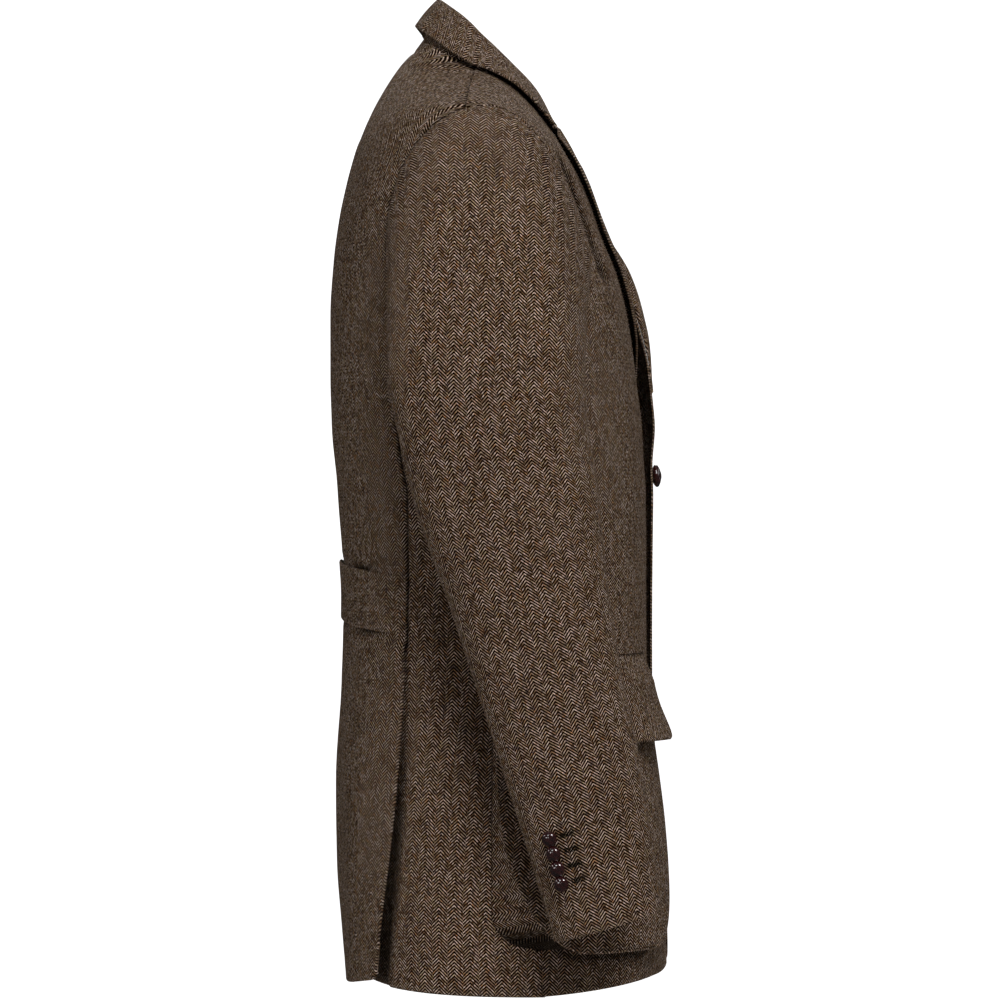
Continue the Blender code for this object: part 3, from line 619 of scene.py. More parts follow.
def panel_rows(notch, mark, seam_turn):
    """Outer height, outer angle and inner height of each row of a back or front from hem to neck.

    The outer boundary climbs a seam to the notch in the armhole, follows the armhole to the shoulder
    seam, then runs along that to the neck.
    """
    tip_turn, tip_z = locate(*armhole(SHOULDER_TURN))
    top_z = locate(*armhole(0.0))[1] + SHOULDER_FAN
    seam_z = mix(HEM_Z, mark[1], at_low_end(SEAM_ROWS))[:-1]
    climb = np.arange(ARM_ROWS) / ARM_ROWS
    arm_turn, arm_z = locate(*armhole(mix(notch, SHOULDER_TURN, climb)))
    arm_inner = locate(*armhole(mix(notch, 0.0, climb)))[1] + SHOULDER_FAN * climb ** 2
    run = np.linspace(0.0, 1.0, SHOULDER_ROWS + 1)
    outer_z = np.concatenate((seam_z, arm_z, mix(tip_z, NECK_Z, run)))
    outer = np.concatenate((seam_turn(seam_z), arm_turn, mix(tip_turn, math.pi / 2, run)))
    inner_z = np.concatenate((seam_z, arm_inner, mix(top_z, NECK_Z, run)))
    return outer_z[:, None], outer[:, None], inner_z[:, None]


def vent_lift(z, from_edge):
    """How far the back stands off the side body near the vent's edge."""
    down = ease((VENT_Z + VENT_RISE - z) / VENT_RISE)
    flare = VENT_FLARE * ease((VENT_Z - z) / (VENT_Z - HEM_Z))
    return (VENT_LIFT * down + flare) * ease((VENT_FADE - from_edge) / (VENT_FADE - VENT_UNDERLAP))


def body_grain(points, turn, z, centre):
    """Grain of a panel: distance round the body and length down its centre line.

    Above the yoke line the cloth lies straight up and over the shoulder.
    """
    yoke_turns = mix(0.0 if centre < 1 else math.pi, math.pi / 2, np.linspace(0.0, 1.0, 90))
    yoke = torso(yoke_turns, YOKE_Z)
    across = np.interp(points[..., 0], yoke[:, 0], girth(yoke_turns, YOKE_Z))
    from_y, from_z = (np.interp(points[..., 0], yoke[:, 0], yoke[:, axis]) for axis in (1, 2))
    over = np.hypot(points[..., 1] - from_y, points[..., 2] - from_z)
    flat = np.stack((across, length_down(centre, from_z) + over), axis=-1)
    round_body = np.stack((girth(turn, z), length_down(centre, points[..., 2])), axis=-1)
    return mix(round_body, flat, ease((points[..., 2] - from_z) / YOKE_BLEND)[..., None])


outer_z, outer, inner_z = panel_rows(BACK_NOTCH, BACK_MARK, vent_turn)
share = at_both_ends(BACK_COLUMNS)[None, :]
z = mix(inner_z, outer_z, share)
half = through(TORSO, z).half
turn = mix(SEAM_GAP / half, outer - SEAM_GAP / half, share)
from_edge = (outer - turn) * half
z = z + hem_share(z) * (corner(from_edge, VENT_CORNER) + mix(-BACK_HEM_DROP, VENT_HEM_RISE, share ** 2))
points = off_torso(turn, z, vent_lift(z, from_edge))
grain = body_grain(points, turn, z, 0.0)
vent_free = ease((VENT_Z - outer_z) / 0.02)
neck_seam = np.exp(-((points[..., 2] - NECK_SEAM_Z + NECK_SEAM_FALL * grain[..., 0]) / NECK_SEAM_WIDE) ** 2)
neck_seam *= ease((NECK_SEAM_END - grain[..., 0]) / 0.006)
# Along the belt's top and bottom edges the back is drawn in a little and painted darker: painted shadow of
# the belt.
on_belt = np.abs(turn) / turn_at_y(BELT_END_Y, z)
belt_pull_and_shadow = sum(np.exp(-((z - edge_z + BELT_DROP * on_belt ** 1.5) / BELT_SHADOW) ** 2)
               for edge_z in (BELT_TOP, BELT_BOTTOM)) * ease((1.02 - on_belt) / 0.25)
for side_name, mirrored in (("left", False), ("right", True)):
    push = folded(grain[..., 0], points[..., 2], BACK_FOLDS, 0.0 if mirrored else 0.012)
    cloth("back_" + side_name, points, grain, {"rear": 0.0, "fore": vent_free, "top": 0.0},
          push - NECK_SEAM_DEEP * neck_seam - BELT_PULL * belt_pull_and_shadow, mirrored, hemmed=True,
          shade_and_seam_dark=belt_pull_and_shadow)


# Side bodies. A tweed panel under each arm between the side-back and the side-front seam, sewn to both
# and to the lower armhole, and running on under the back at the vent.
SIDE_COLUMNS = 44
SIDE_SKIRT_ROWS = 62
SIDE_WAIST_ROWS = 54
UNDERLAP_SINK = 0.0045
SINK_WIDE = 0.0055
SIDE_FRONT = table("z y", (-0.200, -0.058), (-0.420, -0.052), (-0.760, -0.056))
SIDE_FOLDS = table(
    "across_a z_a across_b z_b wide deep bow",
    (0.165, -0.290, 0.300, -0.330, 0.014, -0.0013, 0.006),
    (0.170, -0.360, 0.310, -0.350, 0.013, 0.0012, -0.005),
    (0.165, -0.415, 0.290, -0.440, 0.014, -0.0011, 0.006),
    (0.215, -0.480, 0.222, -0.742, 0.018, 0.0014, 0.005),
)


def side_front_turn(z):
    """Angle of the side-front seam."""
    return run_in(through(SIDE_FRONT, z).y, z, FRONT_MARK)


share = at_both_ends(SIDE_COLUMNS)[None, :]
top_turn, top_z = locate(*armhole(mix(BACK_NOTCH + math.tau, FRONT_NOTCH, share), -SEAM_GAP))
skirt = mix(HEM_Z, VENT_Z + VENT_RISE, at_low_end(SIDE_SKIRT_ROWS))[:-1, None]
skirt = skirt + hem_share(skirt) * VENT_HEM_RISE * (1 - share) ** 2
climb = np.linspace(0.0, 1.0, SIDE_WAIST_ROWS + 1)[:, None]
z = np.concatenate((skirt, mix(VENT_Z + VENT_RISE, top_z, climb)))
drift = top_turn - mix(side_back_turn(top_z), side_front_turn(top_z), share)
drift = drift * np.concatenate((0 * skirt[:, :1], ease((climb - 0.45) / 0.55)))
half = through(TORSO, z).half
underlap = mix(VENT_UNDERLAP, HEM_UNDERLAP, (VENT_Z - z) / (VENT_Z - HEM_Z))
underlap = underlap * ease((VENT_Z - z) / VENT_RISE)
rear_turn = side_back_turn(z) + (SEAM_GAP - underlap) / half
turn = drift + mix(rear_turn, side_front_turn(z) - SEAM_GAP / half, share)
points = torso(turn, z)
# Beside the back's vent edge the side body sinks in and is painted darker: painted shade in the vent.
vent_sink_and_shade = np.exp(-(np.maximum(turn - vent_turn(z), 0.0) * half / SINK_WIDE) ** 2) * ease((VENT_Z - z) / 0.14)
grain = np.stack((girth(turn, z), length_down(math.pi / 2, points[..., 2])), axis=-1)
for side_name, mirrored in (("left", False), ("right", True)):
    push = folded(grain[..., 0], points[..., 2], SIDE_FOLDS, 0.0 if mirrored else 0.010)
    cloth("side_" + side_name, points, grain, {"rear": ease((VENT_Z - z[:, :1]) / 0.02), "top": 0.0},
          push - UNDERLAP_SINK * vent_sink_and_shade, mirrored, hemmed=True,
          shade_and_seam_dark=0.9 * vent_sink_and_shade)


# Fronts. The left one laps over the right and is held by the front button. Each is one piece of tweed
# from the side seam to its straight edge, with a dart under the chest, a round lower corner and a
# turned-up hem; above the break its edge is the line that the lapel rolls over.
FRONT_COLUMNS = 92
FRONT_CORNER = 0.050
FRONT_HEM_RISE = 0.0090
FRONT_EDGE_RISE = 0.006
HEM_RISE_FROM_Y = -0.045
HEM_RISE_OVER = 0.100
FRONT_DEEP = 0.140
LAP_FADE_X = 0.105
LAP_FULL_X = 0.035
DART_Y = -0.1040
DART_TOP = -0.308
DART_LOW = -0.372
DART_WIDE = 0.0014
DART_DEEP = 0.0011
ARM_CREASE_REACH = 0.037
CREASE_FULL = 0.0030
CREASE_DARK = 0.72
FRONT_GRAIN_TURN = math.pi - 0.3
LAPEL_SHADOW = 0.0030
POCKET_REAR_Y = -0.0175
POCKET_FRONT_X = 0.080
POCKET_BOTTOM = -0.711
POCKET_CORNER_WIDE = 0.058
POCKET_CORNER_TALL = 0.150
POCKET_WIDE = 0.175
POCKET_SHADOW_WIDE = 0.0034
POCKET_SHADOW_BELOW = 0.003
FRONT_EDGE = table(
    "z edge_x lap",
    (0.012, 0.0600, 0.0000),
    (-0.005, 0.0610, 0.0000),
    (-0.030, 0.0570, 0.0000),
    (-0.070, 0.0470, 0.0002),
    (-0.120, 0.0330, 0.0046),
    (-0.190, 0.0120, 0.0086),
    (-0.245, -0.0090, 0.0124),
    (-0.285, -0.0200, 0.0122),
    (-0.330, -0.0220, 0.0062),
    (-0.560, -0.0220, 0.0040),
    (-0.690, -0.0220, 0.0024),
    (-0.760, -0.0220, 0.0020),
)
# The lapel's free edge in front view, and how far it rolls off the chest, at heights of the roll line
LAPEL = table(
    "z edge_x edge_z roll",
    (-0.007, 0.112, -0.067, 0.0040),
    (-0.030, 0.120, -0.088, 0.0035),
    (-0.070, 0.110, -0.120, 0.0018),
    (-0.120, 0.092, -0.154, 0.0045),
    (-0.160, 0.073, -0.181, 0.0050),
    (-0.200, 0.048, -0.209, 0.0035),
    (-0.235, 0.020, -0.239, 0.0012),
    (-0.262, -0.004, -0.263, 0.0004),
)
# Soft folds, with the distance taken back from the front's centre line
FRONT_FOLDS = table(
    "across_a z_a across_b z_b wide deep bow",
    (0.010, -0.332, 0.100, -0.300, 0.013, -0.0012, 0.006),
    (0.012, -0.345, 0.110, -0.385, 0.013, -0.0012, -0.006),
    (0.015, -0.322, 0.090, -0.250, 0.014, 0.0011, 0.006),
    (0.110, -0.120, 0.150, -0.250, 0.018, 0.0013, 0.008),
    (0.020, -0.520, 0.030, -0.742, 0.018, 0.0014, 0.006),
    (0.130, -0.320, 0.145, -0.430, 0.016, -0.0011, 0.005),
)
# Sharp creases in side view: from and to (y, height), half width, depth and bow. The crease before the
# sleeve head and the small tuck it ends in, both kept near the armhole. Both are also painted darker as
# they deepen: painted shade in the creases.
ARM_CREASES = table(
    "across_a z_a across_b z_b wide deep bow",
    (-0.0558, -0.0440, -0.1018, -0.1660, 0.0020, -0.0060, -0.0015),
    (-0.0985, -0.1540, -0.1066, -0.1760, 0.0022, -0.0048, 0.001),
)
# The short crease above the dart, also painted darker: painted shade in the crease
CHEST_CREASES = table(
    "across_a z_a across_b z_b wide deep bow",
    (-0.0880, -0.2867, -0.1000, -0.2867, 0.0012, -0.0012, 0.000),
)


def turn_at_x(x, z):
    """Angle where the front of a section crosses an x, past half a turn beyond the centre."""
    here = through(TORSO, z)
    deep, power, _ = half_of(here, False)
    share = np.minimum(np.abs(x) / here.half, 0.9995)
    return math.pi - np.arctan2(x, deep * (1 - share ** power) ** (1 / power))


def front_edge_turn(z):
    """Angle of the front's edge, or of the roll line above the break."""
    return turn_at_x(through(FRONT_EDGE, z).edge_x, z)


def lap_lift(turn, z, lapped):
    """Stand-off of the upper front over the under one, full near the edge and none at the side."""
    x = torso(turn, z)[..., 0]
    return lapped * through(FRONT_EDGE, z).lap * ease((LAP_FADE_X - x) / (LAP_FADE_X - LAP_FULL_X))


def pocket_turn(across, z):
    """Angle at a share of the pocket's width from its rear edge to its front edge."""
    return mix(turn_at_y(POCKET_REAR_Y, z), turn_at_x(POCKET_FRONT_X, z), across)


def pocket_low(across):
    """Height of the pocket's lower edge at a share of its width, with its round corners."""
    inside = np.minimum(across, 1 - across) * POCKET_WIDE
    return POCKET_BOTTOM + POCKET_CORNER_TALL * corner(inside, POCKET_CORNER_WIDE) / POCKET_CORNER_WIDE


lapel_edge = through(LAPEL, np.linspace(LAPEL[-1].z, LAPEL[0].z, 60))
outer_z, outer, inner_z = panel_rows(FRONT_NOTCH, FRONT_MARK, side_front_turn)
share = at_both_ends(FRONT_COLUMNS)[None, :]
z = mix(outer_z, inner_z, 1 - (1 - share) ** 3.2)
edge_turn = front_edge_turn(inner_z)
turn = mix(outer + SEAM_GAP / through(TORSO, outer_z).half, edge_turn, 1 - (1 - share) ** 1.3)
round_up = corner((edge_turn - turn) * FRONT_DEEP, FRONT_CORNER)
forward = np.clip((HEM_RISE_FROM_Y - torso(turn, z)[..., 1]) / HEM_RISE_OVER, 0.0, 1.0) ** 1.25
z = z + hem_share(z) * (round_up + FRONT_HEM_RISE * forward + FRONT_EDGE_RISE * share ** 2)
for side_name, lapped in (("left", True), ("right", False)):
    points = off_torso(turn, z, lap_lift(turn, z, lapped))
    grain = body_grain(points, turn, z, FRONT_GRAIN_TURN)
    to_centre = girth(math.pi, z) - grain[..., 0]
    push = folded(to_centre, points[..., 2], FRONT_FOLDS, 0.012 if lapped else 0.0)
    crease = folded(points[..., 1], points[..., 2], ARM_CREASES)
    crease = crease * np.exp(-(reach_along(points, 1) / ARM_CREASE_REACH) ** 4)
    crease = crease + folded(points[..., 1], points[..., 2], CHEST_CREASES)
    # Painted shadow on the front along the lapel's free edge
    gaps = points[..., None, ::2] - np.stack((lapel_edge.edge_x, lapel_edge.edge_z), axis=-1)
    lapel_edge_shadow = np.exp(-(np.linalg.norm(gaps, axis=-1).min(axis=-1) / LAPEL_SHADOW) ** 2)
    dart = np.exp(-((points[..., 1] - DART_Y) / DART_WIDE) ** 2)
    dart *= ease((DART_TOP - points[..., 2]) / 0.02) * ease((points[..., 2] - DART_LOW) / 0.01)
    in_pocket = (turn - pocket_turn(0.0, z)) / (pocket_turn(1.0, z) - pocket_turn(0.0, z))
    # A painted shadow line on the front just below the pocket's lower edge
    below = z - pocket_low(np.clip(in_pocket, 0.0, 1.0)) + POCKET_SHADOW_BELOW
    pocket_shadow = np.exp(-(below / POCKET_SHADOW_WIDE) ** 2)
    pocket_shadow *= ease((in_pocket - 0.10) / 0.12) * ease((1.05 - in_pocket) / 0.1)
    # Painted shade in the armhole creases and the chest crease, darker as they deepen
    crease_shade = np.clip(-crease / CREASE_FULL, 0.0, CREASE_DARK)
    cloth("front_" + side_name, points, grain, {"fore": 1.0, "top": 0.0},
          push + crease - DART_DEEP * dart, not lapped, hemmed=True,
          shade_and_seam_dark=np.max((crease_shade, 0.8 * pocket_shadow, 0.8 * lapel_edge_shadow), axis=0))


# Lapels. The top of each front turned back on the roll line, faced with the same tweed, its free edge
# lying on the chest from the break up to the notch under the collar.
LAPEL_WALL = 0.0013
LAPEL_STAND = 0.0030
LAPEL_EDGE_STAND = 0.0058
LAPEL_END_STAND = 0.0006
LAPEL_TAPER = 0.060
LAPEL_COLUMNS = 34
LAPEL_ROLL_COLUMNS = 8
LAPEL_ROWS = 76


def locate_front(x, z):
    """Angle and section height of the body's points that are seen at x, z from the front."""
    section = z
    for _ in range(40):
        here = through(TORSO, section)
        deep, power, rise = half_of(here, False)
        share = (1 - np.minimum(np.abs(x) / here.half, 0.9995) ** power) ** (1 / power)
        section = mix(section, z - rise * share ** 2, 0.6)
    return math.pi - np.arctan2(x, deep * share), section


height = mix(LAPEL[-1].z, LAPEL[0].z, at_both_ends(LAPEL_ROWS, 0.6))[:, None]
row = through(LAPEL, height)
start = torso(front_edge_turn(height), height)
to_edge = 1 - at_both_ends(LAPEL_COLUMNS)[None, :]
swing = np.linspace(0.0, math.pi, LAPEL_ROLL_COLUMNS + 1)[None, 1:]
x = mix(start[..., 0], row.edge_x, to_edge)
seen_z = mix(start[..., 2], row.edge_z, to_edge)
tapered = ease((height - LAPEL[-1].z) / LAPEL_TAPER)
roll_stand = mix(LAPEL_END_STAND, LAPEL_STAND, tapered)
stand = mix(roll_stand, mix(LAPEL_END_STAND, LAPEL_EDGE_STAND, tapered), to_edge)
stand = stand + row.roll * np.sin(math.pi * np.minimum(to_edge * 2.4, 1.0)) * (1 - to_edge)
x = np.concatenate((x, start[..., 0] - roll_stand / 2 * np.sin(swing)), axis=1)
seen_z = np.concatenate((seen_z, start[..., 2] + 0 * swing), axis=1)
stand = np.concatenate((stand, roll_stand / 2 * (1 + np.cos(swing))), axis=1)
turn, z = locate_front(x, seen_z)
for side_name, lapped in (("left", True), ("right", False)):
    points = off_torso(turn, z, stand + lap_lift(turn, z, lapped))
    grain = np.stack((reach_along(points, 1), reach_along(points, 0)), axis=-1)
    cloth("lapel_" + side_name, points, grain, {"rear": 1.0, "top": 1.0}, 0.0, not lapped, LAPEL_WALL)


# Collar. One length of tweed round the neck: a stand that rises from the neck seam, a soft fold, and a
# fall that comes down over the seam to a free edge, ending at the notch above each lapel.
COLLAR_WALL = 0.0032
COLLAR_FOLD = 0.0024
COLLAR_CLEAR = 0.0024
COLLAR_TUCK = 0.006
COLLAR_INSIDE = 0.0034
COLLAR_EDGE_ROUND = 0.0012
COLLAR_COLUMNS = 150
COLLAR_ROWS = 56
COLLAR = table(
    "station turn seam_z fold_x fold_y fold_z edge_x edge_y edge_z",
    (0, 0.0, 0.012, 0.000, 0.0305, 0.0622, 0.000, 0.0500, 0.0420),
    (1, 35.0, 0.012, 0.030, 0.0262, 0.0572, 0.038, 0.0405, 0.0330),
    (2, 70.0, 0.012, 0.052, 0.0098, 0.0435, 0.074, 0.0160, 0.0130),
    (3, 95.0, 0.012, 0.060, -0.0070, 0.0280, 0.092, -0.0050, -0.0010),
    (4, 118.5, 0.012, 0.064, -0.0282, 0.0072, 0.104, -0.0240, -0.0180),
    (5, 129.0, 0.001, 0.064, -0.0492, -0.0160, 0.107, -0.0420, -0.0355),
    (6, 136.5, -0.0055, 0.0600, -0.0656, -0.0475, 0.104, -0.0575, -0.0545),
)


def clear_of_body(spots):
    """Spots of the fall, moved out where the shoulder or chest below would touch it."""
    turn, section = locate(spots[..., 1], spots[..., 2])
    out = torso_out(turn, section)
    stand = ((spots - torso(turn, section)) * out).sum(axis=-1)
    lift = np.where(section > NECK_Z, 0.0, np.maximum(COLLAR_WALL / 2 + COLLAR_CLEAR - stand, 0.0))
    return spots + out * lift[..., None]


along = (1 - at_both_ends(COLLAR_COLUMNS, 0.6) * 2) * COLLAR[-1].station
here = through(COLLAR, np.abs(along))
seam_turn = np.radians(here.turn)
seam = off_torso(seam_turn, here.seam_z - COLLAR_TUCK, -COLLAR_INSIDE)
fold = np.stack((here.fold_x, here.fold_y, here.fold_z), axis=-1)
edge = clear_of_body(np.stack((here.edge_x, here.edge_y, here.edge_z), axis=-1))
out = unit(edge - seam) * COLLAR_FOLD
path = (seam, mix(seam, fold, 0.5) - out * 0.2, fold - out * 0.8, fold + out * 0.8,
        mix(fold, edge, 0.5) + out * 0.9, edge)
steps = table("step x y z", *((index, 0, 0, 0) for index in range(len(path))))
rows = []
for share in at_both_ends(COLLAR_ROWS, 0.6):
    rows.append([through([step._replace(x=x, y=y, z=z) for step, (x, y, z) in zip(steps, stations)],
                         np.array(share * (len(path) - 1)))[1:] for stations in zip(*path)])
points = np.array(rows) * np.stack((np.sign(along + 1e-9), along ** 0, along ** 0), axis=-1)
grain = np.stack((reach_along(points, 1)[-1:] + 0 * points[..., 0], reach_along(points, 0)), axis=-1)
cloth("collar", points, grain, {"rear": 1.0, "fore": 1.0, "top": 1.0}, COLLAR_WALL / 2, wall=COLLAR_WALL,
      rounded=COLLAR_EDGE_ROUND)


# Sleeves. Two-piece sleeves of tweed, the top half from the hind seam over the outside to the fore seam
# and the under half inside, set into the armhole with a full head and bent forward at the elbow. The
# cuff is turned up inside. The rings are at heights of the sleeve's axis.
SLEEVE = table(
    "z x y deep thick slope",
    (-0.262, 0.2550, -0.0092, 0.0778, 0.0445, 0.00),
    (-0.300, 0.2535, -0.0154, 0.0743, 0.0450, 0.05),
    (-0.340, 0.2515, -0.0235, 0.0726, 0.0445, 0.10),
    (-0.380, 0.2500, -0.0325, 0.0678, 0.0440, 0.15),
    (-0.420, 0.2495, -0.0417, 0.0619, 0.0430, 0.20),
    (-0.460, 0.2500, -0.0512, 0.0579, 0.0420, 0.24),
    (-0.510, 0.2520, -0.0637, 0.0538, 0.0410, 0.27),
    (-0.560, 0.2545, -0.0768, 0.0513, 0.0400, 0.29),
    (-0.610, 0.2570, -0.0887, 0.0476, 0.0390, 0.30),
    (-0.681, 0.2590, -0.1043, 0.0427, 0.0380, 0.30),
)
HIND_SEAM = table(
    "z turn", (0.0, -96.0), (-0.262, -94.0), (-0.500, -90.0), (-0.600, -84.0), (-0.700, -80.0)
)
FORE_SEAM = table("z turn", (0.0, 128.0), (-0.700, 122.0))
CUFF_Z = SLEEVE[-1].z
BICEPS_Z = SLEEVE[0].z
HEAD_LEAVE = 0.50
HEAD_ARRIVE = 0.92
HEAD_SHARE = 10 / 15
HEAD_FULL_BACK = 0.0008
HEAD_FULL_FRONT = 0.0
HEAD_STRAIGHT_TO = 1.66
HEAD_STRAIGHT_FADE = 0.44
ARM_TUCK = 0.0022
SLEEVE_GAP = -0.004
ARM_LENGTH_ROWS = 120
HEAD_ROWS = 56
TOP_COLUMNS = 78
UNDER_COLUMNS = 44
# Soft folds: from and to (distance round from the sleeve's outer line, height), width, depth and bow
SLEEVE_FOLDS = table(
    "across_a z_a across_b z_b wide deep bow",
    (-0.075, -0.330, 0.030, -0.352, 0.014, -0.0014, 0.008),
    (-0.020, -0.366, 0.090, -0.335, 0.013, 0.0013, 0.006),
    (-0.070, -0.385, 0.020, -0.398, 0.013, 0.0013, 0.006),
    (0.010, -0.410, 0.095, -0.372, 0.013, -0.0015, 0.006),
    (-0.060, -0.432, 0.040, -0.440, 0.014, -0.0012, -0.006),
    (0.020, -0.455, 0.085, -0.430, 0.012, 0.0011, 0.006),
    (-0.050, -0.560, 0.020, -0.585, 0.015, 0.0012, 0.007),
    (0.000, -0.610, 0.060, -0.580, 0.014, -0.0011, 0.006),
    (-0.030, -0.110, -0.055, -0.235, 0.018, -0.0012, 0.008),
    (0.050, -0.120, 0.080, -0.250, 0.018, 0.0013, -0.008),
    (0.010, -0.205, 0.020, -0.300, 0.022, -0.0009, 0.006),
)


def ring(turn, z):
    """Sleeve point at an angle from the outer side towards the front, at a height of its axis."""
    here = through(SLEEVE, np.asarray(z, float))
    forward = -here.deep * np.sin(turn)
    return np.stack(np.broadcast_arrays(here.x + here.thick * np.cos(turn), here.y + forward,
                                        z - here.slope * forward), axis=-1)


def sleeve_head(turn, s):
    """Sleeve point between the armhole (s = 0) and the biceps (s = 1)."""
    start = torso(*locate(*armhole(turn))) - np.array((ARM_TUCK, 0, 0))
    end = ring(turn, BICEPS_Z)
    reach = np.linalg.norm(end - start, axis=-1, keepdims=True)
    leave = unit(np.array((1, 0, -0.25))) * reach * HEAD_LEAVE
    arrive = np.array((0, 0, -1)) * reach * HEAD_ARRIVE
    s = s[..., None]
    full = mix(HEAD_FULL_BACK, HEAD_FULL_FRONT, ease(np.sin(turn) / 0.8))[..., None]
    full = full * np.sin(math.pi * np.sqrt(s)) * np.maximum(np.cos(turn / 1.4), 0.0)[..., None]
    round_out = np.stack((0 * turn, -np.sin(turn), np.cos(turn)), axis=-1)
    return ((2 * s ** 3 - 3 * s ** 2 + 1) * start + (s ** 3 - 2 * s ** 2 + s) * leave
            + (3 * s ** 2 - 2 * s ** 3) * end + (s ** 3 - s ** 2) * arrive + full * round_out)


def sleeve_half(side_of):
    """Points and grain of one half of the sleeve, between the seams that side_of gives."""
    low = at_low_end(ARM_LENGTH_ROWS)[:-1, None] * HEAD_SHARE
    high = mix(HEAD_SHARE, 1.0, np.sin(np.pi / 2 * np.linspace(0, 1, HEAD_ROWS + 1)) ** 0.9)[:, None]
    level = np.concatenate((low, high))
    seam_z = mix(CUFF_Z, 0.0, level)
    turn = side_of(np.radians(through(HIND_SEAM, seam_z).turn), np.radians(through(FORE_SEAM, seam_z).turn))
    arm_turn, head_turn = turn[:len(low)], turn[len(low):]
    axis_z = mix(CUFF_Z, BICEPS_Z, np.minimum(level / HEAD_SHARE, 1.0))
    points = np.concatenate((ring(arm_turn, axis_z[:len(low)]),
                             sleeve_head(head_turn, (1 - high + 0 * head_turn) / (1 - HEAD_SHARE))))
    sweep = np.linspace(-np.pi, 2 * np.pi, 541)
    rounds = reach_along(ring(sweep[None, :], axis_z), 1)
    biceps = through(SLEEVE, np.array(BICEPS_Z))
    seen_turn = np.arcsin(np.clip((biceps.y - points[len(low):, :, 1]) / biceps.deep, -1.0, 1.0))
    straight = mix(head_turn, seen_turn, ease((HEAD_STRAIGHT_TO - np.abs(head_turn)) / HEAD_STRAIGHT_FADE))
    across = np.array([np.interp(turns, sweep, arcs) - np.interp(0.0, sweep, arcs)
                       for turns, arcs in zip(np.concatenate((arm_turn, straight)), rounds)])
    outer_line = np.concatenate((ring(0.0, axis_z[:len(low)])[:, 0],
                                 sleeve_head(0 * high, (1 - high) / (1 - HEAD_SHARE))[:, 0]))
    length = reach_along(outer_line[:, None, :], 0)
    along = np.concatenate((length[:len(low)] + 0 * arm_turn,
                            length[len(low)] + reach_along(points[len(low):], 0)))
    return points, np.stack((across, along), axis=-1)


def top_side(hind, fore):
    return mix(hind + SLEEVE_GAP, fore - SLEEVE_GAP, at_both_ends(TOP_COLUMNS)[None, :])


def under_side(hind, fore):
    return mix(fore + SLEEVE_GAP, hind + math.tau - SLEEVE_GAP, at_both_ends(UNDER_COLUMNS)[None, :])


for half_name, side_of in (("top_sleeve_", top_side), ("under_sleeve_", under_side)):
    points, grain = sleeve_half(side_of)
    for side_name, mirrored in (("left", False), ("right", True)):
        push = folded(grain[..., 0], points[..., 2], SLEEVE_FOLDS, 0.0 if mirrored else 0.014)
        cloth(half_name + side_name, points, grain, {"rear": 0.0, "fore": 0.0, "top": 0.0}, push, mirrored,
              hemmed=True)


# Bellows pockets. On each hip a patch of tweed stands off the front on a pleated gusset strip cut
# across the cloth, edge-stitched together all round, with its open mouth under a flap that is sewn to
# the front above it and has round corners.
TRIM_WALL = 0.0014
PATCH_COLUMNS = 72
PATCH_ROWS = 60
GUSSET_COLUMNS = 200
GUSSET_ROWS = 16
FLAP_COLUMNS = 52
FLAP_ROWS = 28
POCKET_MOUTH = -0.498
POCKET_DEEP_REAR = 0.017
POCKET_DEEP_FRONT = 0.012
POCKET_MOUTH_REAR = 0.42
POCKET_MOUTH_FRONT = 0.50
POCKET_CROWN = 0.003
GUSSET_INSET = 0.0012
GUSSET_FLARE = 0.005
GUSSET_FOOT = 0.0006
GUSSET_BOTTOM = -0.707
GUSSET_CORNER = 0.030
GUSSET_BENDS = (0.30, 0.42)
GUSSET_PLEAT = 0.0020
FLAP_TOP = -0.474
FLAP_BOTTOM = -0.545
FLAP_REAR_Y = -0.0115
FLAP_FRONT_X = 0.072
FLAP_CORNER = 0.022
FLAP_WIDE = 0.186
FLAP_SWING = 0.0160
FLAP_STAND = 0.0012
STITCH_IN = 0.0042
STITCH_PITCH = 0.0036
STITCH_LONG = 0.0025
STITCH_THICK = 0.0008
STITCH_THREAD = (0.105, 0.070, 0.042, 1.0)
STITCH_THREAD_DARK = (0.105 * 0.45, 0.070 * 0.45, 0.042 * 0.45, 1.0)


def pocket_off(across, z):
    """How far the pocket's outer face stands off the front."""
    up = (z - POCKET_BOTTOM) / (POCKET_MOUTH - POCKET_BOTTOM)
    deep = mix(POCKET_DEEP_REAR, POCKET_DEEP_FRONT, across)
    crown = POCKET_CROWN * np.sin(math.pi * across) * np.sin(math.pi * np.clip(up, 0.0, 1.0))
    mouth = mix(POCKET_MOUTH_REAR, POCKET_MOUTH_FRONT, across)
    return deep * mix(1.0, mouth, ease((up - 0.45) / 0.55)) + crown


def pocket_outline(share, inset, bottom, corner_wide, corner_tall):
    """Round the pocket from its rear mouth to its front one: straight down, a corner, along the bottom."""
    half = np.minimum(share, 1 - share) * 2
    down, turned = GUSSET_BENDS
    bend = np.clip((half - down) / turned, 0.0, 1.0) * math.pi / 2
    along = np.maximum(half - down - turned, 0.0) / (1 - down - turned)
    width = mix(inset + corner_wide * (1 - np.cos(bend)), POCKET_WIDE / 2, along)
    z = mix(POCKET_MOUTH - 0.004, bottom + corner_tall, np.minimum(half / down, 1.0))
    return np.where(share < 0.5, width, POCKET_WIDE - width) / POCKET_WIDE, z - corner_tall * np.sin(bend)


def patch_outline(share, inset):
    """The same round the patch, a little inside its edge."""
    return pocket_outline(share, inset, POCKET_BOTTOM + inset, POCKET_CORNER_WIDE - inset,
                          POCKET_CORNER_TALL - inset)


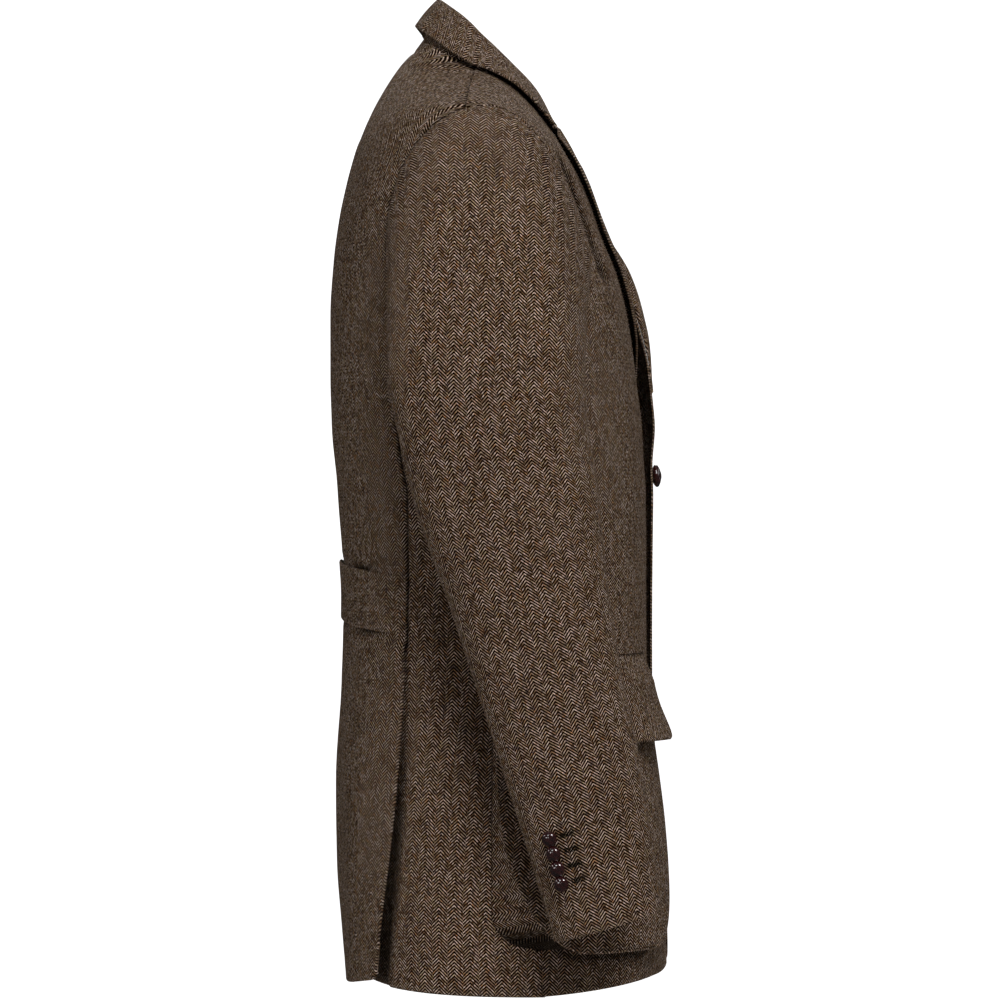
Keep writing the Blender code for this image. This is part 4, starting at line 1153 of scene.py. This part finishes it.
def patch_places(lapped):
    """Angles, heights and stand-off of the patch, from its rear edge to its front one."""
    share = at_both_ends(PATCH_COLUMNS)[None, :]
    z = mix(pocket_low(share), POCKET_MOUTH, at_both_ends(PATCH_ROWS, 0.7)[:, None])
    turn = pocket_turn(share, z)
    return turn, z, pocket_off(share, z) + lap_lift(turn, z, lapped)


def gusset_places(lapped):
    """The same for the strip, from its foot on the front to its head behind the patch's edge."""
    share = np.linspace(0.0, 1.0, GUSSET_COLUMNS + 1)
    rise = np.linspace(0.0, 1.0, GUSSET_ROWS + 1)[:, None]
    head, head_z = patch_outline(share, GUSSET_INSET)
    foot_z = np.maximum(head_z, GUSSET_BOTTOM)
    middle = np.maximum(np.minimum(share, 1 - share) * 2 - sum(GUSSET_BENDS), 0.0) / (1 - sum(GUSSET_BENDS))
    foot = mix(corner(foot_z - GUSSET_BOTTOM, GUSSET_CORNER) - GUSSET_FLARE, POCKET_WIDE / 2, middle)
    foot = np.where(share < 0.5, foot, POCKET_WIDE - foot) / POCKET_WIDE
    z = mix(foot_z, head_z, rise)
    turn = pocket_turn(mix(foot, head, rise), z)
    return turn, z, mix(GUSSET_FOOT, pocket_off(head, head_z) - 0.0006, rise) + lap_lift(turn, z, lapped)


def flap_places(lapped):
    """The same for the flap, sewn down along its top and swung out over the pocket's mouth."""
    share = at_both_ends(FLAP_COLUMNS)[None, :]
    low = FLAP_BOTTOM + corner(np.minimum(share, 1 - share) * FLAP_WIDE, FLAP_CORNER)
    z = mix(low, FLAP_TOP, at_both_ends(FLAP_ROWS, 0.7)[:, None])
    turn = mix(turn_at_y(FLAP_REAR_Y, z), turn_at_x(FLAP_FRONT_X, z), share)
    down = (FLAP_TOP - z) / (FLAP_TOP - FLAP_BOTTOM)
    swung = FLAP_SWING * mix(0.35, 1.0, share) * down ** 2
    over = pocket_off(share, np.minimum(z, POCKET_MOUTH)) + FLAP_STAND + swung
    return turn, z, mix(FLAP_STAND, over, ease(down / 0.36)) + lap_lift(turn, z, lapped)


def twisted_thread(name, dark, light, fineness, roughness, specular, sheen):
    """Thread twisted from two plies, in one colour."""
    material = bpy.data.materials.new(name)
    shader, wire = shader_of(material)
    where = wire.node("ShaderNodeTexCoord", out="Object")
    ply = wire.noise(where, fineness, 2.0)
    shader.inputs["Roughness"].default_value = roughness
    shader.inputs["Specular IOR Level"].default_value = specular
    shader.inputs["Sheen Weight"].default_value = sheen
    material.node_tree.links.new(ply.blend(dark, light).socket, shader.inputs["Base Color"])
    bump = wire.node("ShaderNodeBump", {}, {"Strength": 0.4, "Distance": 0.0003, "Height": ply})
    material.node_tree.links.new(bump.socket, shader.inputs["Normal"])
    return material


THREAD = twisted_thread("stitch_thread", STITCH_THREAD_DARK, STITCH_THREAD, 1600.0, 0.75, 0.5, 0.2)


def bead(shape, spot, run, out, long, wide, thick):
    """Add one short stitch to a shape: a small round bar that lies along its run."""
    run, out = Vector(run).normalized(), Vector(out).normalized()
    side = out.cross(run).normalized()
    made = bmesh.ops.create_uvsphere(shape, u_segments=6, v_segments=4, radius=0.5)
    turned = Matrix((side * wide, run.cross(side) * thick, run * long)).transposed().to_4x4()
    bmesh.ops.transform(shape, matrix=Matrix.Translation(Vector(spot)) @ turned, verts=made["verts"])


def sewn_piece(name, shape, material):
    """A joined mesh of small sewn things."""
    bmesh.ops.recalc_face_normals(shape, faces=shape.faces)
    mesh = bpy.data.meshes.new(name)
    shape.to_mesh(mesh)
    shape.free()
    mesh.shade_smooth()
    mesh.materials.append(material)
    piece = bpy.data.objects.new(name, mesh)
    bpy.context.scene.collection.objects.link(piece)
    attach(piece, "root")
    return piece


for side_name, lapped in (("left", True), ("right", False)):
    turn, z, off = patch_places(lapped)
    points = off_torso(turn, z, off)
    cloth("pocket_patch_" + side_name, points, body_grain(points, turn, z, FRONT_GRAIN_TURN),
          {"rear": 1.0, "fore": 1.0, "low": 1.0, "top": 1.0}, 0.0, not lapped, TRIM_WALL)
    turn, z, off = gusset_places(lapped)
    points = off_torso(turn, z, off)
    grain = np.stack((reach_along(points, 1), reach_along(points, 0)), axis=-1)
    pleat = -GUSSET_PLEAT * np.sin(np.pi * np.linspace(0.0, 1.0, len(points)))[:, None]
    # The gusset's lower part is painted darker: painted shade deep in the pleat under the patch.
    gusset_foot_shade = ease((POCKET_BOTTOM + 0.030 - points[..., 2]) / 0.020)
    cloth("pocket_gusset_" + side_name, points, grain, {"low": 0.0}, pleat + 0 * off, not lapped, TRIM_WALL,
          strip=True, shade_and_seam_dark=gusset_foot_shade)
    turn, z, off = flap_places(lapped)
    points = off_torso(turn, z, off)
    cloth("pocket_flap_" + side_name, points, body_grain(points, turn, z, FRONT_GRAIN_TURN),
          {"rear": 1.0, "fore": 1.0, "low": 1.0, "top": 0.0}, 0.0, not lapped, TRIM_WALL)

    share, z = patch_outline(np.linspace(0.0, 1.0, 4001), STITCH_IN)
    turn = pocket_turn(share, z)
    line = off_torso(turn, z, pocket_off(share, z) + lap_lift(turn, z, lapped))
    outs = torso_out(turn, z)
    if not lapped:
        line, outs = line * (-1, 1, 1), outs * (-1, 1, 1)
    gone = reach_along(line[:, None, :], 0)[:, 0]
    shape = bmesh.new()
    for place in np.arange(STITCH_PITCH, gone[-1] - STITCH_PITCH, STITCH_PITCH):
        index = int(np.searchsorted(gone, place))
        bead(shape, line[index], line[index + 3] - line[index - 3], outs[index],
             STITCH_LONG, STITCH_THICK, STITCH_THICK)
    sewn_piece("pocket_stitches_" + side_name, shape, THREAD)


# Half belt. A flat strip of tweed, doubled, laid across the back waist and sewn down at both ends, its
# stripes matched to the back and its upper edge standing a little open at the centre.
BELT_STAND = 0.0020
BELT_SEWN = 0.0004
BELT_GAPE = 0.0010
BELT_COLUMNS = 120
BELT_ROWS = 22

share = at_both_ends(BELT_COLUMNS)[None, :] * 2 - 1
climb = at_both_ends(BELT_ROWS)[:, None]
z = mix(BELT_BOTTOM, BELT_TOP, climb) - BELT_DROP * np.abs(share) ** 1.5
turn = share * turn_at_y(BELT_END_Y, z)
gape = BELT_GAPE * ease((climb - 0.3) / 0.7) * ease((0.75 - np.abs(share)) / 0.6)
points = off_torso(turn, z, mix(BELT_SEWN, BELT_STAND, ease((1 - np.abs(share)) / 0.10)) + gape)
grain = np.stack((girth(np.abs(turn), z) * np.sign(turn), length_down(0.0, points[..., 2])), axis=-1)
cloth("half_belt", points, grain, {"rear": 0.0, "fore": 0.0, "low": 1.0, "top": 1.0}, 0.0, wall=TRIM_WALL)


# Buttons. Knotted leather domes in dark oxblood, plaited from a strap that goes over and under itself,
# burnished on its high places. Four touch each other up each cuff, beside worked buttonholes; a larger
# one holds the front.
CUFF_BUTTON_FIRST_Z = -0.6045
CUFF_BUTTON_PITCH = 0.0118
CUFF_BUTTON_TURN = math.radians(-34.75)
CUFF_BUTTON_COUNT = 4
CUFF_BUTTON_ACROSS = 0.0126
CUFF_BUTTON_THICK = 0.0082
FRONT_BUTTON_ACROSS = 0.0190
FRONT_BUTTON_THICK = 0.0082
FRONT_BUTTON_X = -0.004
FRONT_BUTTON_Z = -0.330
STRAP_SHARE = 0.86
STRAP_DEEP = 0.24
OXBLOOD = (0.034, 0.0036, 0.0038, 1.0)
OXBLOOD_DARK = (0.006, 0.0020, 0.0020, 1.0)
HOLE_NEAR = 0.0070
HOLE_LONG = 0.0165
HOLE_WIDE = 0.0040
HOLE_STITCHES = 13
HOLE_STITCH_WIDE = 0.0006
HOLE_STITCH_THICK = 0.0008
CUFF_RADIUS = 0.042
HOLE_THREAD = (0.0045, 0.0042, 0.0026, 1.0)
HOLE_THREAD_LIGHT = (0.0045 * 2.4, 0.0042 * 2.4, 0.0026 * 2.4, 1.0)


def knot_leather():
    """Polished leather: oxblood, darker in the crossings of the strap, with a fine grain."""
    material = bpy.data.materials.new("oxblood_leather")
    shader, wire = shader_of(material)
    where = wire.node("ShaderNodeTexCoord", out="Object")
    crossing = wire.node("ShaderNodeAttribute", {"attribute_name": "crossing"}, out="Fac")
    pores = wire.noise(where, 2600.0, 3.0)
    cloudy = wire.noise(where, 320.0, 2.0)
    shade = (crossing * 0.85 + (cloudy - 0.5) * 0.7 + 0.12).clamped()
    shader.inputs["Specular IOR Level"].default_value = 0.08
    shader.inputs["Coat Weight"].default_value = 1.0
    shader.inputs["Coat Roughness"].default_value = 0.12
    shader.inputs["Coat IOR"].default_value = 2.0
    bump = wire.node("ShaderNodeBump", {}, {"Strength": 0.05, "Distance": 0.0001, "Height": pores})
    links = material.node_tree.links
    links.new(shade.blend(OXBLOOD, OXBLOOD_DARK).socket, shader.inputs["Base Color"])
    links.new((0.34 + crossing * 0.3 + pores * 0.10).socket, shader.inputs["Roughness"])
    links.new(bump.socket, shader.inputs["Normal"])
    return material


LEATHER = knot_leather()


def knot_button(name, spot, out, across, thick):
    """A leather knot: a flattened dome whose face is plaited from straps over and under each other."""
    shape = bmesh.new()
    bmesh.ops.create_uvsphere(shape, u_segments=44, v_segments=26, radius=1.0)
    ball = np.array([vertex.co for vertex in shape.verts])
    run_a = (ball[:, 0] + ball[:, 1]) / math.sqrt(2) / STRAP_SHARE
    run_b = (ball[:, 0] - ball[:, 1]) / math.sqrt(2) / STRAP_SHARE
    cell_a, cell_b = np.rint(run_a), np.rint(run_b)
    in_a, in_b = (run_a - cell_a) * 2, (run_b - cell_b) * 2
    over = (cell_a + cell_b) % 2 == 0
    pillow = np.where(over, (1 - in_b ** 2) * (1 - 0.4 * in_a ** 2),
                      (1 - in_a ** 2) * (1 - 0.4 * in_b ** 2))
    front = ease((ball[:, 2] + 0.15) / 0.45)
    ball = ball * (1 - STRAP_DEEP * front * (1 - np.sqrt(np.clip(pillow, 0.0, 1.0))))[:, None]
    for vertex, place in zip(shape.verts, ball):
        vertex.co = place
    turned = Vector(out).to_track_quat("Z", "Y").to_matrix().to_4x4()
    sized = Matrix.Diagonal((across / 2, across / 2, thick / 2, 1.0))
    bmesh.ops.transform(shape, matrix=Matrix.Translation(Vector(spot)) @ turned @ sized, verts=shape.verts)
    piece = sewn_piece(name + "_knot", shape, LEATHER)
    layer = piece.data.attributes.new("crossing", "FLOAT", "POINT")
    layer.data.foreach_set("value", (front * (1 - np.clip(pillow, 0.0, 1.0)) ** 2).astype(np.float32))
    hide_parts(name)
    return piece


HOLE_TWIST = twisted_thread("buttonhole_thread", HOLE_THREAD, HOLE_THREAD_LIGHT, 1800.0, 0.9, 0.02, 0.0)
stitch_hand = np.random.default_rng(7)

for side_name, flip in (("left", 1.0), ("right", -1.0)):
    holes = bmesh.new()
    across_side = np.array((flip, 1.0, 1.0))
    for index in range(CUFF_BUTTON_COUNT):
        z = CUFF_BUTTON_FIRST_Z - index * CUFF_BUTTON_PITCH
        spot = ring(CUFF_BUTTON_TURN, z)
        around = unit(ring(CUFF_BUTTON_TURN + 0.01, z) - spot)
        up = unit(ring(CUFF_BUTTON_TURN, z + 0.001) - spot)
        out = unit(np.cross(around, up))
        out = out * np.sign(out[0])
        knot_button("cuff_button_%s_%d" % (side_name, index + 1),
                    (spot + out * (CUFF_BUTTON_THICK / 2 + 0.0003)) * across_side, out * across_side,
                    CUFF_BUTTON_ACROSS, CUFF_BUTTON_THICK)
        for step in range(HOLE_STITCHES):
            share = step / (HOLE_STITCHES - 1)
            turn_here = CUFF_BUTTON_TURN + mix(HOLE_NEAR, HOLE_LONG, share) / CUFF_RADIUS
            place = ring(turn_here, z)
            next_place = ring(turn_here + 0.01, z)
            away = unit(np.cross(next_place - place, up))
            away = away * np.sign(away[0])
            for row_side in (-0.5, 0.5):
                stray = stitch_hand.uniform(-1.0, 1.0, 3)
                long = HOLE_WIDE * (0.62 + 0.22 * stray[0])
                run = up + unit(next_place - place) * 0.55 * stray[1]
                stitch = place + up * (HOLE_WIDE / 2 + 0.0005 * stray[2]) * row_side + away * 0.0002
                bead(holes, stitch * across_side, run * across_side, away * across_side, long,
                     HOLE_STITCH_WIDE, HOLE_STITCH_THICK)
    sewn_piece("cuff_buttonholes_" + side_name, holes, HOLE_TWIST)

turn = turn_at_x(FRONT_BUTTON_X, np.array(FRONT_BUTTON_Z))
out = torso_out(turn, np.array(FRONT_BUTTON_Z))
low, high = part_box("front_button")
knot_button("front_button", (Vector(low) + Vector(high)) / 2, out, FRONT_BUTTON_ACROSS, FRONT_BUTTON_THICK)


# Setting. A plain pale floor well below the hem inside a round white wall, soft lights above and to both
# sides, and a level camera that looks at the jacket's right side. The floor that is seen glows a little,
# and one just under it, which is not seen, throws the lights back up.
FLOOR_GLOW = 0.7
FLOOR_Z = -1.42
FLOOR_UNDER = 0.002
STUDIO_RADIUS = 6.6
STUDIO_TALL = 3.2
FLOOR_PALE = (0.78, 0.78, 0.77, 1.0)
WALL_WHITE = (1.0, 1.0, 1.0, 1.0)
SURROUND = (1.0, 1.0, 1.0, 1.0)
SURROUND_STRENGTH = 0.05
CAMERA_PLACE = (-4.5, -0.02, -0.35)
CAMERA_LENS = 195.2
SENSOR = 36.0
AIM = Vector((0.0, 0.0, -0.34))
LIGHTS = table(
    "name place size power",
    ("key", (-3.0, -0.7, 2.4), 1.5, 118.0),
    ("far_side", (3.4, -0.1, 1.6), 2.0, 80.0),
    ("before", (0.7, -3.3, 0.9), 2.0, 12.0),
    ("behind", (-1.0, 3.2, 0.9), 0.8, 18.0),
    ("overhead", (0.3, 0.1, 2.4), 2.0, 4.0),
)


def studio_surface(name, shape, colour, glow):
    """A plain matt surface of the setting, with a glow of its own if asked."""
    mesh = bpy.data.meshes.new(name)
    shape.to_mesh(mesh)
    shape.free()
    finish = bpy.data.materials.new(name)
    shader, _ = shader_of(finish)
    shader.inputs["Base Color"].default_value = colour
    shader.inputs["Roughness"].default_value = 0.9
    shader.inputs["Emission Color"].default_value = colour
    shader.inputs["Emission Strength"].default_value = glow
    mesh.materials.append(finish)
    surface = bpy.data.objects.new(name, mesh)
    bpy.context.scene.collection.objects.link(surface)
    return surface


for name, z, glow in (("pale_floor", FLOOR_Z, FLOOR_GLOW), ("floor_bounce", FLOOR_Z - FLOOR_UNDER, 0.0)):
    shape = bmesh.new()
    bmesh.ops.create_circle(shape, cap_ends=True, segments=96, radius=STUDIO_RADIUS,
                            matrix=Matrix.Translation((0, 0, z)))
    floor = studio_surface(name, shape, FLOOR_PALE, glow)
    floor.visible_glossy = False
    floor.visible_camera = glow > 0
    floor.visible_diffuse = floor.visible_shadow = glow == 0
shape = bmesh.new()
bmesh.ops.create_cone(shape, cap_ends=False, segments=96, radius1=STUDIO_RADIUS, radius2=STUDIO_RADIUS,
                      depth=STUDIO_TALL, matrix=Matrix.Translation((0, 0, FLOOR_Z + STUDIO_TALL / 2)))
bmesh.ops.reverse_faces(shape, faces=shape.faces)
wall = studio_surface("white_wall", shape, WALL_WHITE, 1.0)
wall.visible_diffuse = wall.visible_glossy = False

scene = bpy.context.scene
surround = bpy.data.worlds.new("surround")
surround.use_nodes = True
surround.node_tree.nodes["Background"].inputs["Color"].default_value = SURROUND
surround.node_tree.nodes["Background"].inputs["Strength"].default_value = SURROUND_STRENGTH
scene.world = surround
for light in LIGHTS:
    lamp = bpy.data.lights.new(light.name, "AREA")
    lamp.size = light.size
    lamp.energy = light.power
    holder = bpy.data.objects.new(light.name, lamp)
    holder.location = light.place
    holder.rotation_euler = (AIM - Vector(light.place)).to_track_quat("-Z", "Y").to_euler()
    scene.collection.objects.link(holder)

camera_data = bpy.data.cameras.new("camera")
camera_data.lens = CAMERA_LENS
camera_data.sensor_width = SENSOR
camera = bpy.data.objects.new("camera", camera_data)
camera.location = CAMERA_PLACE
camera.rotation_euler = (math.pi / 2, 0.0, -math.pi / 2)
scene.collection.objects.link(camera)
scene.camera = camera
scene.view_settings.view_transform = "Standard"
